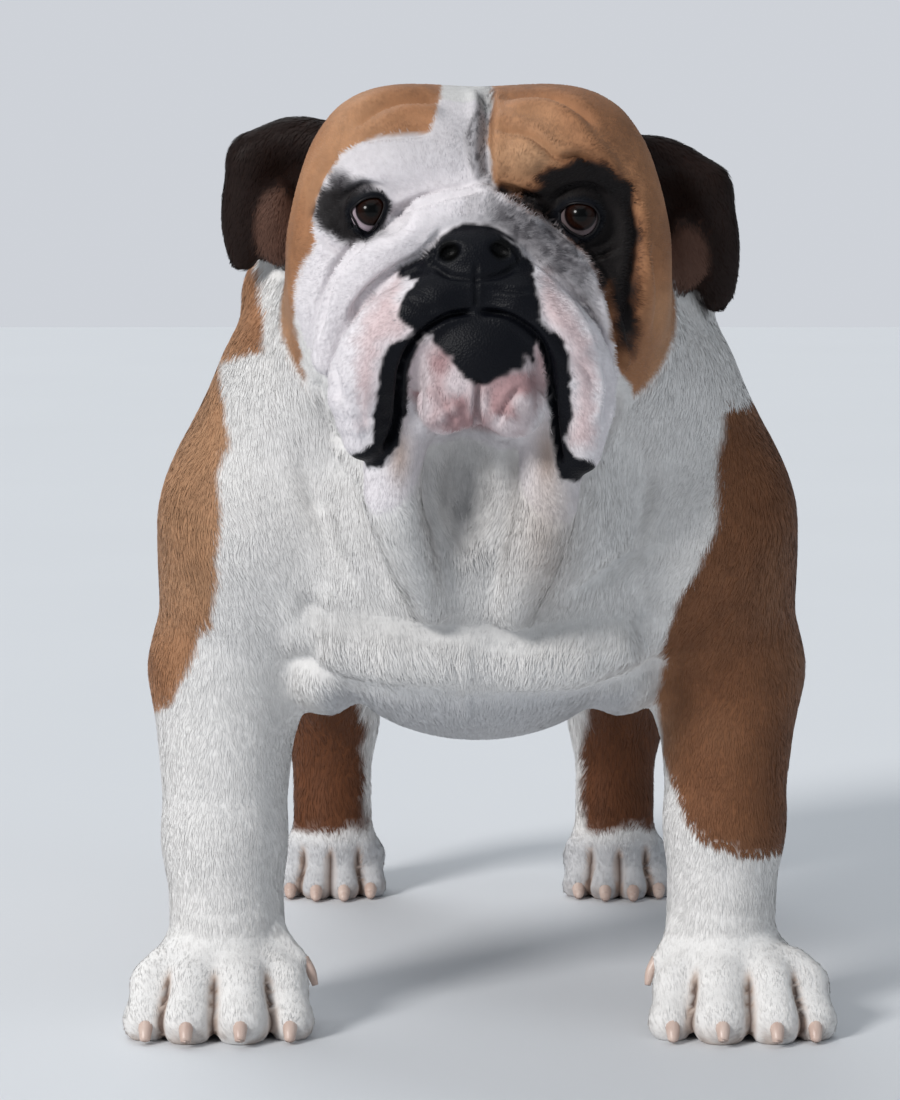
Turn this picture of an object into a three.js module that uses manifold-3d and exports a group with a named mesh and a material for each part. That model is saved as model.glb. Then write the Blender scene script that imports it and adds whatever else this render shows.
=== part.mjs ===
// A life-size English bulldog, standing square and looking up at the viewer.
// Millimetres, +Z up, the dog faces -Y, and its left side is +X.
// The flesh is one smooth field of rounded masses. Each piece is a three.js geometry drawn out to
// the surface of that field from its own middle, and thin cuts part it from its neighbours.
import * as THREE from "three";
import { mergeVertices } from "three/addons/utils/BufferGeometryUtils.js";
import Module from "manifold-3d";

const wasm = await Module();
wasm.setup();

// Driving dimensions
const WITHERS_HEIGHT = 389;
const CHEEK_WIDTH = 208;
const EYE_SPACING = 111;
const EYE_RADIUS = 11;
const ELBOW_X = 142;
const FORE_PAW_X = 147;
const HIND_PAW_X = 92;
const ROOT_SPREAD = 0.76;
const CUT = 0.4;
const FAR = 1200;
const FINEST_STEP = 0.5;
const HALVINGS = 12;
const STEP_SHARE = 0.6;
const STEPS_BACK = 4;
const LEAST_REACH = 1;
const ROLL_STEPS = 8;
const EYE_BACK = 1;
const NOSE_BACK = -55;
const CHIN_BACK = -30;
const NUDGE_X = 0.56;
const NUDGE_Y = -198.03;

// Where the flesh is parted: levels, and lines in the middle plane as [y, z]
const ELBOW_Z = 196;
const ARMPIT_X = 89;
const GROIN_Z = 250;
const GROIN_X = 24;
const FLANK_Y = 325;
const RIBS_Y = 215;
const WRIST_Z = 50;
const HIND_WRIST_Z = 42;
const THROAT_LINE = [[-40, 322], [125, 470]];
const COLLAR_LINE = [[-45, 245], [150, 400]];

// An ellipsoid mass; tilt turns it about X, in degrees, and lean turns it about Y.
function mass(at, radii, soft, { tilt = 0, lean = 0, hollow = false } = {}) {
  const turn = new THREE.Matrix4()
    .makeRotationFromEuler(new THREE.Euler((tilt * Math.PI) / 180, (lean * Math.PI) / 180, 0))
    .transpose().elements;
  const [rx, ry, rz] = radii;
  const distance = (x, y, z) => {
    const a = x - at[0];
    const b = y - at[1];
    const c = z - at[2];
    const u = turn[0] * a + turn[4] * b + turn[8] * c;
    const v = turn[1] * a + turn[5] * b + turn[9] * c;
    const w = turn[2] * a + turn[6] * b + turn[10] * c;
    const near = Math.hypot(u / rx, v / ry, w / rz);
    const steep = Math.hypot(u / (rx * rx), v / (ry * ry), w / (rz * rz));
    return steep < 1e-9 ? -Math.min(rx, ry, rz) : (near * (near - 1)) / steep;
  };
  return { distance, soft, hollow, at, reach: Math.max(rx, ry, rz) };
}

// A tapered limb between two points.
function limb(from, radiusFrom, to, radiusTo, soft) {
  const along = to.map((t, i) => t - from[i]);
  const length2 = along.reduce((sum, a) => sum + a * a, 0);
  const distance = (x, y, z) => {
    const a = x - from[0];
    const b = y - from[1];
    const c = z - from[2];
    const t = (a * along[0] + b * along[1] + c * along[2]) / length2;
    const s = Math.min(1, Math.max(0, t));
    const off = Math.hypot(a - s * along[0], b - s * along[1], c - s * along[2]);
    return off - (radiusFrom + s * (radiusTo - radiusFrom));
  };
  const at = from.map((f, i) => (f + to[i]) / 2);
  const reach = Math.sqrt(length2) / 2 + Math.max(radiusFrom, radiusTo);
  return { distance, soft, hollow: false, at, reach };
}

// A roll of flesh: one smooth string through several points, each with its radius as fourth number.
function roll(points, soft) {
  const curve = new THREE.CatmullRomCurve3(points.map((p) => new THREE.Vector3(p[0], p[1], p[2])));
  const thickness = new THREE.CatmullRomCurve3(points.map((p) => new THREE.Vector3(p[3], 0, 0)));
  const steps = Array.from({ length: ROLL_STEPS + 1 }, (_, i) => i / ROLL_STEPS);
  const spots = steps.map((t) => [curve.getPoint(t).toArray(), thickness.getPoint(t).x]);
  const pieces = spots.slice(1).map(([to, radius], i) => limb(spots[i][0], spots[i][1], to, radius, 1));
  const distance = (x, y, z) => Math.min(...pieces.map((piece) => piece.distance(x, y, z)));
  const box = new THREE.Box3().setFromPoints(spots.map(([p]) => new THREE.Vector3(...p)));
  const at = box.getCenter(new THREE.Vector3()).toArray();
  const reach = box.getSize(new THREE.Vector3()).length() / 2 + Math.max(...points.map((p) => p[3]));
  return { distance, soft, hollow: false, at, reach };
}

const mirrored = (make) => [make(-1), make(1)].flat();

// Distance to all the masses together, melted into each other over each one's softness.
function together(parts, x, y, z) {
  let d = 1e3;
  for (const part of parts) {
    const k = part.soft;
    const apart = Math.hypot(x - part.at[0], y - part.at[1], z - part.at[2]) - part.reach;
    if (apart > Math.abs(d) + k) {
      continue;
    }
    const e = part.distance(x, y, z);
    if (part.hollow) {
      const h = Math.max(k - Math.abs(d + e), 0) / k;
      d = Math.max(d, -e) + (h * h * k) / 4;
    } else {
      const h = Math.max(k - Math.abs(d - e), 0) / k;
      d = Math.min(d, e) - (h * h * k) / 4;
    }
  }
  return d;
}

// The trunk, from forechest to buttocks
const trunkParts = [
  mass([0, 165, 274], [120, 150, 106], 30),
  mass([0, 46, 264], [112, 56, 86], 30),
  mass([0, 74, 208], [76, 62, 47], 24),
  mass([0, 255, 276], [100, 115, 80], 30),
  mass([0, 316, 316], [90, 104, 80], 30),
  mass([0, 398, 310], [86, 64, 68], 30),
  mass([0, 150, WITHERS_HEIGHT - 36], [84, 84, 36], 40),
];

// Shoulder blade, upper arm and elbow, which stand well out from the ribs
const shoulderParts = mirrored((s) => [
  mass([s * 112, 84, 292], [62, 68, 84], 26, { lean: s * -6 }),
  limb([s * 126, 62, 282], 50, [s * 136, 94, 205], 46, 22),
  mass([s * ELBOW_X, 112, 188], [34, 34, 38], 18),
]);

// The upright part of each leg above its paw; the dog's right foreleg (-X) is a little the thicker
const shanks = {
  fore_right: limb([-143, 76, 104], 34, [-141, 68, 40], 33, 12),
  fore_left: limb([140, 76, 112], 33, [137, 68, 40], 31, 12),
  hind_right: limb([-93, 454, 112], 27, [-HIND_PAW_X, 440, 36], 26, 12),
  hind_left: limb([93, 454, 112], 27, [HIND_PAW_X, 440, 36], 26, 12),
};

const forearmParts = [
  limb([-ELBOW_X, 86, 196], 43, [-143, 76, 104], 34, 16),
  limb([ELBOW_X, 86, 196], 42, [140, 76, 112], 33, 16),
  shanks.fore_right,
  shanks.fore_left,
];

// Thigh, knee and hock
const hindlegParts = [shanks.hind_right, shanks.hind_left, ...mirrored((s) => [
  mass([s * 68, 388, 276], [46, 68, 78], 26),
  limb([s * 80, 392, 258], 54, [s * 92, 372, 208], 44, 22),
  limb([s * 92, 376, 204], 42, [s * 93, 448, 118], 29, 20),
  mass([s * 93, 462, 114], [22, 18, 26], 10),
])];

// Neck, with the nape behind and loose skin at the sides
const neckParts = [
  mass([0, 82, 414], [131, 56, 56], 30),
  mass([0, 66, 364], [142, 84, 72], 28),
  limb([0, 76, 430], 66, [0, 150, 336], 78, 40),
  mass([0, 4, 306], [72, 36, 66], 22),
];

// Skull, cheeks and brows
const headParts = [
  mass([0, 34, 452], [88, 76, 75], 22),
  mass([0, -2, 478], [44, 46, 40], 22),
  ...mirrored((s) => [
    mass([s * 60, 18, 414], [CHEEK_WIDTH / 2 - 60, 56, 66], 20),
    mass([s * 44, 4, 487], [46, 50, 41], 20),
    roll([
      [s * 20, -34, 492, 14], [s * 48, -34, 486, 14], [s * 72, -20, 474, 13], [s * 84, -6, 446, 12],
    ], 14),
    mass([s * 78, -2, 436], [24, 38, 60], 14),
  ]),
];

// Upper jaw: the long fold that rides over the nose, and the flews
const muzzleParts = [
  mass([0, -34, 420], [62, 38, 42], 14),
  roll([
    [1, -51, 463, 13], [-23, -52, 458, 14], [-45, -51, 445, 15], [-62, -47, 428, 14],
    [-73, -42, 410, 12], [-79, -34, 384, 11],
  ], 4),
  roll([
    [1, -51, 463, 13], [18, -51, 460, 13], [43, -49, 438, 13], [55, -45, 424, 12],
    [64, -41, 408, 11], [71, -35, 382, 10],
  ], 4),
  roll([[-22, -66, 414, 19], [-44, -64, 398, 22], [-61, -58, 372, 20], [-60, -54, 343, 13]], 5),
  roll([[20, -66, 414, 19], [43, -62, 394, 21], [55, -56, 368, 18], [53, -54, 336, 13]], 5),
];
const noseParts = [
  mass([-3, -62, 437], [27, 16, 17], 5),
  mass([-3, -70, 421], [19, 12, 12], 8),
];

// Lower jaw, standing forward of the nose
const chinParts = [
  mass([1, -66, 384], [37, 24, 32], 8),
  mass([0, -30, 370], [48, 46, 34], 18),
  mass([-16, -78, 362], [17, 13, 17], 7),
  mass([18, -78, 361], [17, 13, 17], 7),
];

// Two pillars of loose skin under the chin, with the hollow of the throat between them
const dewlapParts = [
  roll([[-40, -38, 350, 16], [-46, -40, 314, 17], [-38, -32, 280, 15], [-27, -14, 250, 12]], 8),
  roll([[38, -38, 350, 16], [37, -42, 314, 18], [30, -34, 280, 16], [20, -14, 248, 13]], 8),
  mass([-7, -56, 311], [21, 42, 42], 8, { hollow: true }),
];

// The fold across the brisket, and the skin that spans each armpit
const brisketParts = [
  roll([
    [-96, 46, 232, 16], [-64, 18, 222, 20], [-26, 8, 219, 20], [6, 8, 219, 19], [34, 8, 216, 20],
    [68, 18, 220, 19], [98, 46, 232, 16],
  ], 9),
  mass([-85, 76, 200], [24, 45, 26], 8),
  mass([80, 76, 200], [26, 45, 26], 8),
];

// One paw: a pad and four arched toes, given from the inside out as [side, thickness]
function pawShape({ x, toeY, width, height, back, spots }) {
  const toes = spots.map(([tip, fat], i) => {
    const outer = i === 0 || i === 3;
    const root = x + (tip - x) * ROOT_SPREAD;
    const tipY = toeY + (outer ? 25 : 17);
    const knuckle = [(root + 2 * tip) / 3, tipY + 15, height * 0.62];
    const heelY = toeY + back * 0.75;
    return {
      fat,
      knuckle,
      root: [root, heelY, height * 0.78],
      tip: [tip, tipY, fat * 0.78],
      sole: [root, heelY, fat * 0.9],
    };
  });
  const pad = {
    at: [x, toeY + back, height * 0.55],
    radii: [width * 0.44, back * 0.6, height * 0.62],
    middle: [x, toeY + back * 0.8, height * 0.5],
  };
  return { toes, pad };
}
const foreSize = { toeY: 0, height: 44, back: 62 };
const hindSize = { toeY: 400, height: 38, back: 44 };
const paws = {
  fore_right: pawShape({
    ...foreSize, x: -FORE_PAW_X, width: 104, spots: [[-104, 12], [-131, 15.5], [-161, 14.5], [-184, 12.5]],
  }),
  fore_left: pawShape({
    ...foreSize, x: FORE_PAW_X, width: 100, spots: [[108, 12], [135, 15.5], [165, 14.5], [187, 12]],
  }),
  hind_right: pawShape({
    ...hindSize, x: -HIND_PAW_X, width: 70, spots: [[-67, 9], [-84, 9.5], [-102, 9.5], [-119, 9]],
  }),
  hind_left: pawShape({
    ...hindSize, x: HIND_PAW_X, width: 71, spots: [[68, 9], [85, 9.5], [103, 9.5], [120, 9]],
  }),
};
const toeParts = ({ fat, root, knuckle, tip, sole }) => [
  limb(root, fat, knuckle, fat, 7),
  limb(knuckle, fat, tip, fat * 0.94, 5),
  limb(sole, fat, tip, fat * 0.94, 5),
];

// Ears, folded over, with the inner lump of the fold showing in front
const earParts = {
  right: [
    roll([[-78, 50, 494, 14], [-102, 54, 498, 13], [-124, 52, 488, 13]], 10),
    mass([-127, 50, 462], [15, 11, 38], 10, { lean: 4 }),
    mass([-106, 56, 474], [26, 9, 30], 8),
    mass([-110, 46, 452], [13, 10, 24], 6),
  ],
  left: [
    roll([[80, 50, 488, 14], [104, 54, 486, 13], [125, 52, 472, 14]], 10),
    mass([130, 50, 442], [15, 11, 40], 10, { lean: -4 }),
    mass([108, 56, 460], [26, 9, 30], 8),
    mass([112, 46, 436], [13, 10, 22], 6),
  ],
};

// Eyes, and the hollows they sit in
const eyes = { right: [-EYE_SPACING / 2 - 2, -40, 461], left: [EYE_SPACING / 2 - 2, -40, 459] };
const socketParts = Object.values(eyes)
  .map(([x, y, z]) => mass([x, y - 18, z + 1], [20, 17, 14], 8, { hollow: true }));

// Drawing a three.js geometry out to the flesh

// How far from a point, along a direction, the surface of the masses is first met.
function outward(parts, from, toward, reach, level) {
  const depth = (s) => {
    const [x, y, z] = from.toArray().map((start, i) => start + toward.getComponent(i) * s);
    return together(parts, x, y, z) - level;
  };
  let s = 0;
  while (s < reach && depth(s) < 0) {
    s += Math.max(FINEST_STEP, -depth(s) * STEP_SHARE);
  }
  let inside = Math.max(0, s - FINEST_STEP * STEPS_BACK);
  while (inside > 0 && depth(inside) > 0) {
    inside = Math.max(0, inside - FINEST_STEP * STEPS_BACK);
  }
  let outside = Math.min(s, reach);
  for (let i = 0; i < HALVINGS; i += 1) {
    const middle = (inside + outside) / 2;
    if (depth(middle) < 0) {
      inside = middle;
    } else {
      outside = middle;
    }
  }
  return Math.max(inside, LEAST_REACH);
}

// A plain list of merged points and triangles from a three.js geometry.
function merged(geometry) {
  const bare = geometry.clone();
  bare.deleteAttribute("normal");
  bare.deleteAttribute("uv");
  return mergeVertices(bare, 1e-4);
}

function solidOf(geometry) {
  const points = Float32Array.from(geometry.attributes.position.array);
  const corners = Array.from(geometry.index.array);
  const kept = [];
  for (let i = 0; i < corners.length; i += 3) {
    const [a, b, c] = corners.slice(i, i + 3);
    if (a !== b && b !== c && c !== a) {
      kept.push(a, b, c);
    }
  }
  const mesh = new wasm.Mesh({ numProp: 3, vertProperties: points, triVerts: Uint32Array.from(kept) });
  return new wasm.Manifold(mesh);
}

// A ball drawn out from one middle point; bias crowds its points towards one side.
function wrap(parts, middle, { detail, bias = [0, 0, 0], reach = 260, level = 0 }) {
  const geometry = merged(new THREE.IcosahedronGeometry(1, detail));
  const points = geometry.attributes.position;
  const from = new THREE.Vector3(...middle);
  const toward = new THREE.Vector3();
  const lean = new THREE.Vector3(...bias);
  for (let i = 0; i < points.count; i += 1) {
    toward.fromBufferAttribute(points, i).normalize().add(lean).normalize();
    const s = outward(parts, from, toward, reach, level);
    points.setXYZ(i, from.x + toward.x * s, from.y + toward.y * s, from.z + toward.z * s);
  }
  return solidOf(geometry);
}

// A sleeve drawn out from a curved core; every ring is square to one fixed direction.
function sleeve(parts, core, { up, rings, around, ends, reach = 200, level = 0 }) {
  const geometry = merged(new THREE.CapsuleGeometry(1, rings, ends, around, rings));
  const points = geometry.attributes.position;
  const curve = new THREE.CatmullRomCurve3(core.map((p) => new THREE.Vector3(...p)));
  const along = new THREE.Vector3(...up);
  const side = new THREE.Vector3(1, 0, 0);
  const front = new THREE.Vector3().crossVectors(side, along);
  const spot = new THREE.Vector3();
  const toward = new THREE.Vector3();
  for (let i = 0; i < points.count; i += 1) {
    spot.fromBufferAttribute(points, i);
    const held = Math.min(rings / 2, Math.max(-rings / 2, spot.y));
    const from = curve.getPoint(held / rings + 0.5);
    toward.set(0, 0, 0).addScaledVector(side, spot.x).addScaledVector(front, spot.z);
    toward.addScaledVector(along, spot.y - held).normalize();
    const s = outward(parts, from, toward, reach, level);
    points.setXYZ(i, from.x + toward.x * s, from.y + toward.y * s, from.z + toward.z * s);
  }
  return solidOf(geometry);
}

// A block between two corners, for cutting.
function block(low, high) {
  const size = high.map((h, i) => h - low[i]);
  const geometry = new THREE.BoxGeometry(...size);
  geometry.translate(...low.map((l, i) => l + size[i] / 2));
  return solidOf(merged(geometry));
}

// A large block on one side of a line in the middle plane, held off it by a gap.
function sideOf([[y, z], [yTo, zTo]], side, gap) {
  const geometry = new THREE.BoxGeometry(FAR, FAR, FAR);
  geometry.translate(0, FAR / 2 + gap, 0);
  geometry.rotateX(Math.atan2(zTo - z, yTo - y) + (side === "above" ? Math.PI / 2 : -Math.PI / 2));
  geometry.translate(0, y, z);
  return solidOf(merged(geometry));
}

// Whole bodies before they are parted
const bodyParts = [...trunkParts, ...shoulderParts, ...neckParts, ...brisketParts];
const skullParts = [...bodyParts, ...headParts, ...muzzleParts, ...socketParts];
const torsoParts = [...bodyParts, ...hindlegParts, ...dewlapParts];
const throatParts = [...bodyParts, ...headParts, ...chinParts, ...dewlapParts];
const towardFace = [0, -0.42, -0.04];

const skullShape = (level) => wrap(skullParts, [0, 6, 430], {
  detail: 8, bias: towardFace, reach: 200, level,
});
const noseShape = (level) => wrap(noseParts, [-3, -62, 432], { detail: 2, level });
const chinShape = (level) => wrap([...chinParts, ...dewlapParts], [0, -44, 366], {
  detail: 4, bias: towardFace, level,
});
const throatShape = (level) => wrap(throatParts, [0, 50, 366], { detail: 7, bias: [0, -0.5, 0], level });
const ball = ([x, y, z], radius, detail) => {
  const geometry = new THREE.IcosahedronGeometry(radius, detail);
  geometry.translate(x, y, z);
  return solidOf(merged(geometry));
};

const aboveThroat = sideOf(THROAT_LINE, "above", 0);
const belowThroat = sideOf(THROAT_LINE, "below", CUT);
const aboveCollar = sideOf(COLLAR_LINE, "above", 0);
const belowCollar = sideOf(COLLAR_LINE, "below", CUT);

const solids = {};
const sides = { right: -1, left: 1 };

// Head
const before = (y) => block([-FAR, -FAR, -FAR], [FAR, y, FAR]);
const eyeRoom = Object.values(eyes)
  .map((at) => ball(at, EYE_RADIUS + CUT, 2).intersect(before(at[1] + EYE_BACK + CUT)));
const noseRoom = noseShape(CUT).intersect(before(NOSE_BACK + CUT));
const chinRoom = chinShape(CUT).intersect(before(CHIN_BACK + CUT));
const skullRoom = skullShape(CUT);
solids.head = [...eyeRoom, noseRoom, chinRoom]
  .reduce((solid, room) => solid.subtract(room), skullShape(0).intersect(aboveThroat));
solids.nose = noseShape(0).intersect(before(NOSE_BACK));
solids.lower_jaw = chinShape(0).intersect(before(CHIN_BACK)).subtract(noseRoom);
Object.entries(eyes).forEach(([side, at]) => {
  solids[`eye_${side}`] = ball(at, EYE_RADIUS, 2).intersect(before(at[1] + EYE_BACK));
});

// Neck, then the trunk in three
solids.neck = throatShape(0).intersect(belowThroat).intersect(aboveCollar).subtract(chinRoom);
const neckRoom = throatShape(CUT).intersect(sideOf(THROAT_LINE, "below", 0));
const torsoShape = (level) => sleeve(torsoParts, [[0, 60, 262], [0, 200, 282], [0, 392, 304]], {
  up: [0, 1, 0], rings: 10, around: 22, ends: 3, level,
});
const ribShape = wrap(torsoParts, [0, 92, 272], { detail: 5, bias: [0, -0.3, 0] });
const legRoom = Object.values(sides).flatMap((s) => {
  const foreCorner = [s * ARMPIT_X, s * FAR].sort((a, b) => a - b);
  const hindCorner = [s * GROIN_X, s * FAR].sort((a, b) => a - b);
  return [
    block([foreCorner[0], -FAR, -FAR], [foreCorner[1], RIBS_Y, ELBOW_Z]),
    block([hindCorner[0], FLANK_Y, -FAR], [hindCorner[1], FAR, GROIN_Z]),
  ];
});
const legless = (solid) => legRoom.reduce((kept, room) => kept.subtract(room), solid);
solids.chest = legless(ribShape.intersect(belowCollar).intersect(before(RIBS_Y)));
const hindBody = legless(torsoShape(0));
solids.loin = hindBody.intersect(block([-FAR, RIBS_Y + CUT, -FAR], [FAR, FLANK_Y, FAR]));
solids.rump = hindBody.intersect(block([-FAR, FLANK_Y + CUT, -FAR], [FAR, FAR, FAR]));

// Ears and tail
Object.keys(sides).forEach((side) => {
  const middle = side === "right" ? [-112, 52, 478] : [113, 52, 464];
  solids[`ear_${side}`] = wrap(earParts[side], middle, { detail: 3 })
    .subtract(skullRoom).subtract(neckRoom);
});
const tailParts = [roll([[0, 440, 338, 20], [4, 466, 322, 17], [-3, 474, 298, 13], [2, 470, 276, 7]], 1)];
solids.tail = sleeve(tailParts, [[0, 444, 334], [3, 464, 318], [-3, 474, 298], [2, 470, 280]], {
  up: [0, 0, -1], rings: 4, around: 8, ends: 1,
}).subtract(torsoShape(CUT));

// Legs
Object.entries(sides).forEach(([side, s]) => {
  const foreX = [s * (ARMPIT_X + CUT), s * FAR].sort((a, b) => a - b);
  const hindX = [s * (GROIN_X + CUT), s * FAR].sort((a, b) => a - b);
  const foreCore = [[s * ELBOW_X, 90, 225], [s * ELBOW_X, 84, 170], [s * 142, 76, 105], [s * 139, 70, 30]];
  solids[`foreleg_${side}`] = sleeve([...bodyParts, ...forearmParts], foreCore, {
    up: [0, 0, -1], rings: 7, around: 14, ends: 1, reach: 90,
  }).intersect(block([foreX[0], -FAR, WRIST_Z], [foreX[1], RIBS_Y - CUT, ELBOW_Z - CUT]));
  const hindCore = [
    [s * 76, 392, 285], [s * 88, 384, 225], [s * 93, 408, 165], [s * 93, 450, 112], [s * 92, 442, 30],
  ];
  solids[`hindleg_${side}`] = sleeve([...bodyParts, ...hindlegParts], hindCore, {
    up: [0, 0, -1], rings: 11, around: 12, ends: 1, reach: 90,
  }).intersect(block([hindX[0], FLANK_Y + CUT, HIND_WRIST_Z], [hindX[1], FAR, GROIN_Z - CUT]));
});

// Paws and claws
Object.entries(paws).forEach(([name, { toes, pad }]) => {
  const [top, detail] = name.startsWith("fore") ? [WRIST_Z, 4] : [HIND_WRIST_Z, 3];
  const footParts = [mass(pad.at, pad.radii, 14), shanks[name], ...toes.flatMap(toeParts)];
  const shape = (level) => wrap(footParts, pad.middle, { detail, bias: [0, -0.3, -0.1], reach: 80, level });
  solids[`paw_${name}`] = shape(0).intersect(block([-FAR, -FAR, 0], [FAR, FAR, top - CUT]));
  const room = shape(CUT);
  toes.forEach(({ fat, tip: [x, y, z] }, i) => {
    const nail = [
      roll([[x, y - fat * 0.4, z, 4.8], [x, y - fat - 3, z - 3, 4], [x, y - fat - 7, z - 8, 2.2]], 1),
    ];
    const core = [[x, y - fat * 0.7, z], [x, y - fat - 3, z - 3], [x, y - fat - 6, z - 7]];
    const claw = sleeve(nail, core, { up: [0, -1, 0], rings: 1, around: 5, ends: 1 });
    solids[`claw_${name}_${i + 1}`] = claw.subtract(room).intersect(block([-FAR, -FAR, 0], [FAR, FAR, FAR]));
  });
});

// Colours, as seen on the coat
const tan = new THREE.MeshStandardMaterial({ color: 0xb87a4a, roughness: 0.9, metalness: 0 });
const white = new THREE.MeshStandardMaterial({ color: 0xe4ded6, roughness: 0.9, metalness: 0 });
const pink = new THREE.MeshStandardMaterial({ color: 0xd9bfb4, roughness: 0.8, metalness: 0 });
const darkBrown = new THREE.MeshStandardMaterial({ color: 0x2a1c18, roughness: 0.9, metalness: 0 });
const black = new THREE.MeshStandardMaterial({ color: 0x1c1d22, roughness: 0.45, metalness: 0 });
const brownEye = new THREE.MeshStandardMaterial({ color: 0x2b1410, roughness: 0.1, metalness: 0 });
const horn = new THREE.MeshStandardMaterial({ color: 0xc9a898, roughness: 0.5, metalness: 0 });
const coatOf = { head: tan, nose: black, lower_jaw: pink, chest: white, loin: tan, rump: tan, tail: tan };
function materialOf(name) {
  if (coatOf[name]) {
    return coatOf[name];
  }
  if (name.startsWith("claw")) {
    return horn;
  }
  if (name.startsWith("eye")) {
    return brownEye;
  }
  if (name.startsWith("ear")) {
    return darkBrown;
  }
  return name.startsWith("hindleg") ? tan : white;
}

const group = new THREE.Group();
Object.entries(solids).forEach(([name, solid]) => {
  const { vertProperties, triVerts } = solid.getMesh();
  const geometry = new THREE.BufferGeometry();
  geometry.setAttribute("position", new THREE.BufferAttribute(Float32Array.from(vertProperties), 3));
  geometry.setIndex(Array.from(triVerts));
  geometry.translate(NUDGE_X, NUDGE_Y, 0);
  geometry.computeVertexNormals();
  const mesh = new THREE.Mesh(geometry, materialOf(name).clone());
  mesh.name = name;
  group.add(mesh);
});

export default group;
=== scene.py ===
import itertools
import math

import bmesh
import bpy
import numpy as np
from mathutils import Matrix, Vector


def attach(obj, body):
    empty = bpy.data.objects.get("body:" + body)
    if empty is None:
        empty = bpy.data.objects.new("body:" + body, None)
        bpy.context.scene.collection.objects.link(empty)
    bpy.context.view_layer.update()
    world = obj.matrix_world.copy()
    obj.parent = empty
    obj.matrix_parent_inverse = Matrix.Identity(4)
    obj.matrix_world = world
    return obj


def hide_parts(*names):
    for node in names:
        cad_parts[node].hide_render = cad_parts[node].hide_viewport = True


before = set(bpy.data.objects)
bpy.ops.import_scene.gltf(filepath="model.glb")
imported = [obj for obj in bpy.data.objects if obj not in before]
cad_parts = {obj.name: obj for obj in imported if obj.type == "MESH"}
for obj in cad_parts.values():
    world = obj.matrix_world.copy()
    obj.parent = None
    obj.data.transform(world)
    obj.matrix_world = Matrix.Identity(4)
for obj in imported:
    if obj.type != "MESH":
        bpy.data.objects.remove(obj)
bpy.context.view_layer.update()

# Places are in millimetres from the tips of the forepaws, on the floor; the dog looks along -Y,
# and its left side is +X. SHIFT takes them to the frame's own origin.
SHIFT = np.array([0.56, -198.03, 0.0])
MM = 0.001

WITHERS_HEIGHT = 389
CHEEK_WIDTH = 208
ELBOW_X = 142
FORE_PAW_X = 147
HIND_PAW_X = 92

# Eyes: their middles, how far to the side and up they look, and their lids' openings in the front view
EYE_RADIUS = 10.8
LID_THICKNESS = 1.7
EYES = {"right": (-57.5, -40.0, 461.0), "left": (53.5, -40.0, 459.0)}
GAZE = {"right": (0.7, 1.7), "left": (0.0, 1.2)}
# Whites of the eyes; the left one is darkened with painted shade
EYE_WHITE_AND_SHADE = {"right": (0.56, 0.45, 0.50), "left": (0.20, 0.155, 0.16)}
LID_OPENINGS = {
    "right": [
        (-67.8, 461.6), (-64.1, 466.1), (-59.1, 468.9), (-52.8, 469.2), (-50, 466), (-50.7, 461.6),
        (-53.5, 456.3), (-57.2, 451.3), (-60.3, 449.7), (-63.4, 451.9), (-65.5, 456.3),
    ],
    "left": [
        (41.5, 458.5), (46, 464.8), (53, 466.3), (60, 464.3), (63.3, 459), (61.8, 453), (58.5, 449.3),
        (55, 448), (49, 450.5), (44.5, 454.5),
    ],
}

# The skin's meshes: sizes of their faces, and how deep the skin lies under the coat's tips
VOXEL = 5.6
BODY_DEPTH = 1.3
FACE_DEPTH = 0.8
PAW_DEPTH = 1.0
BARE_DEPTH = 0.4

# The field is worked out block by block, and its masses start as closely set balls
BLOCK = 48.0
BLOCK_MARGIN = 46.0
BALL_SPACING = 0.45

FLESH = [
    "head", "nose", "lower_jaw", "neck", "chest", "loin", "rump", "ear_right", "ear_left", "tail",
    "foreleg_right", "foreleg_left", "hindleg_right", "hindleg_left",
    "paw_fore_right", "paw_fore_left", "paw_hind_right", "paw_hind_left",
]
SEED = 11


def to_frame(p):
    return (p + SHIFT) * MM


def from_frame(q):
    return q / MM - SHIFT


def smooth_step(value, low, high):
    t = np.clip((value - low) / (high - low), 0.0, 1.0)
    return t * t * (3.0 - 2.0 * t)


def mix(a, b, weight):
    """Rows of a turned into b by each row's weight."""
    return a + (np.asarray(b) - a) * weight[:, None]


def unit(v):
    return v / np.maximum(np.linalg.norm(v, axis=1, keepdims=True), 1e-9)


def cloud(p, size, seed):
    """Smooth random values from -1 to 1, that change over the given size."""
    spot = p / size
    cell = np.floor(spot).astype(np.int64)
    part = spot - cell
    part = part * part * (3.0 - 2.0 * part)
    total = np.zeros(len(p))
    for corner in itertools.product((0, 1), repeat=3):
        c = cell + np.array(corner)
        mixed = (c[:, 0] * 73856093) ^ (c[:, 1] * 19349663) ^ (c[:, 2] * 83492791) ^ (seed * 7919)
        mixed = (mixed * 1103515245 + 12345) & 0x7FFFFFFF
        mixed = ((mixed >> 7) * 69069 + 1) & 0xFFFFFF
        share = np.where(np.array(corner) == 1, part, 1.0 - part).prod(axis=1)
        total += share * (mixed / 0x7FFFFF - 1.0)
    return total


# Flesh as one smooth field of masses, as the frame's own pieces are


class Part:
    """One mass of flesh: its distance function, its softness, and the balls that fill it."""

    def __init__(self, distance, soft, at, reach, balls=(), hollow=False):
        self.distance = distance
        self.soft = soft
        self.at = np.array(at, float)
        self.reach = reach
        self.balls = balls
        self.hollow = hollow


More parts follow.
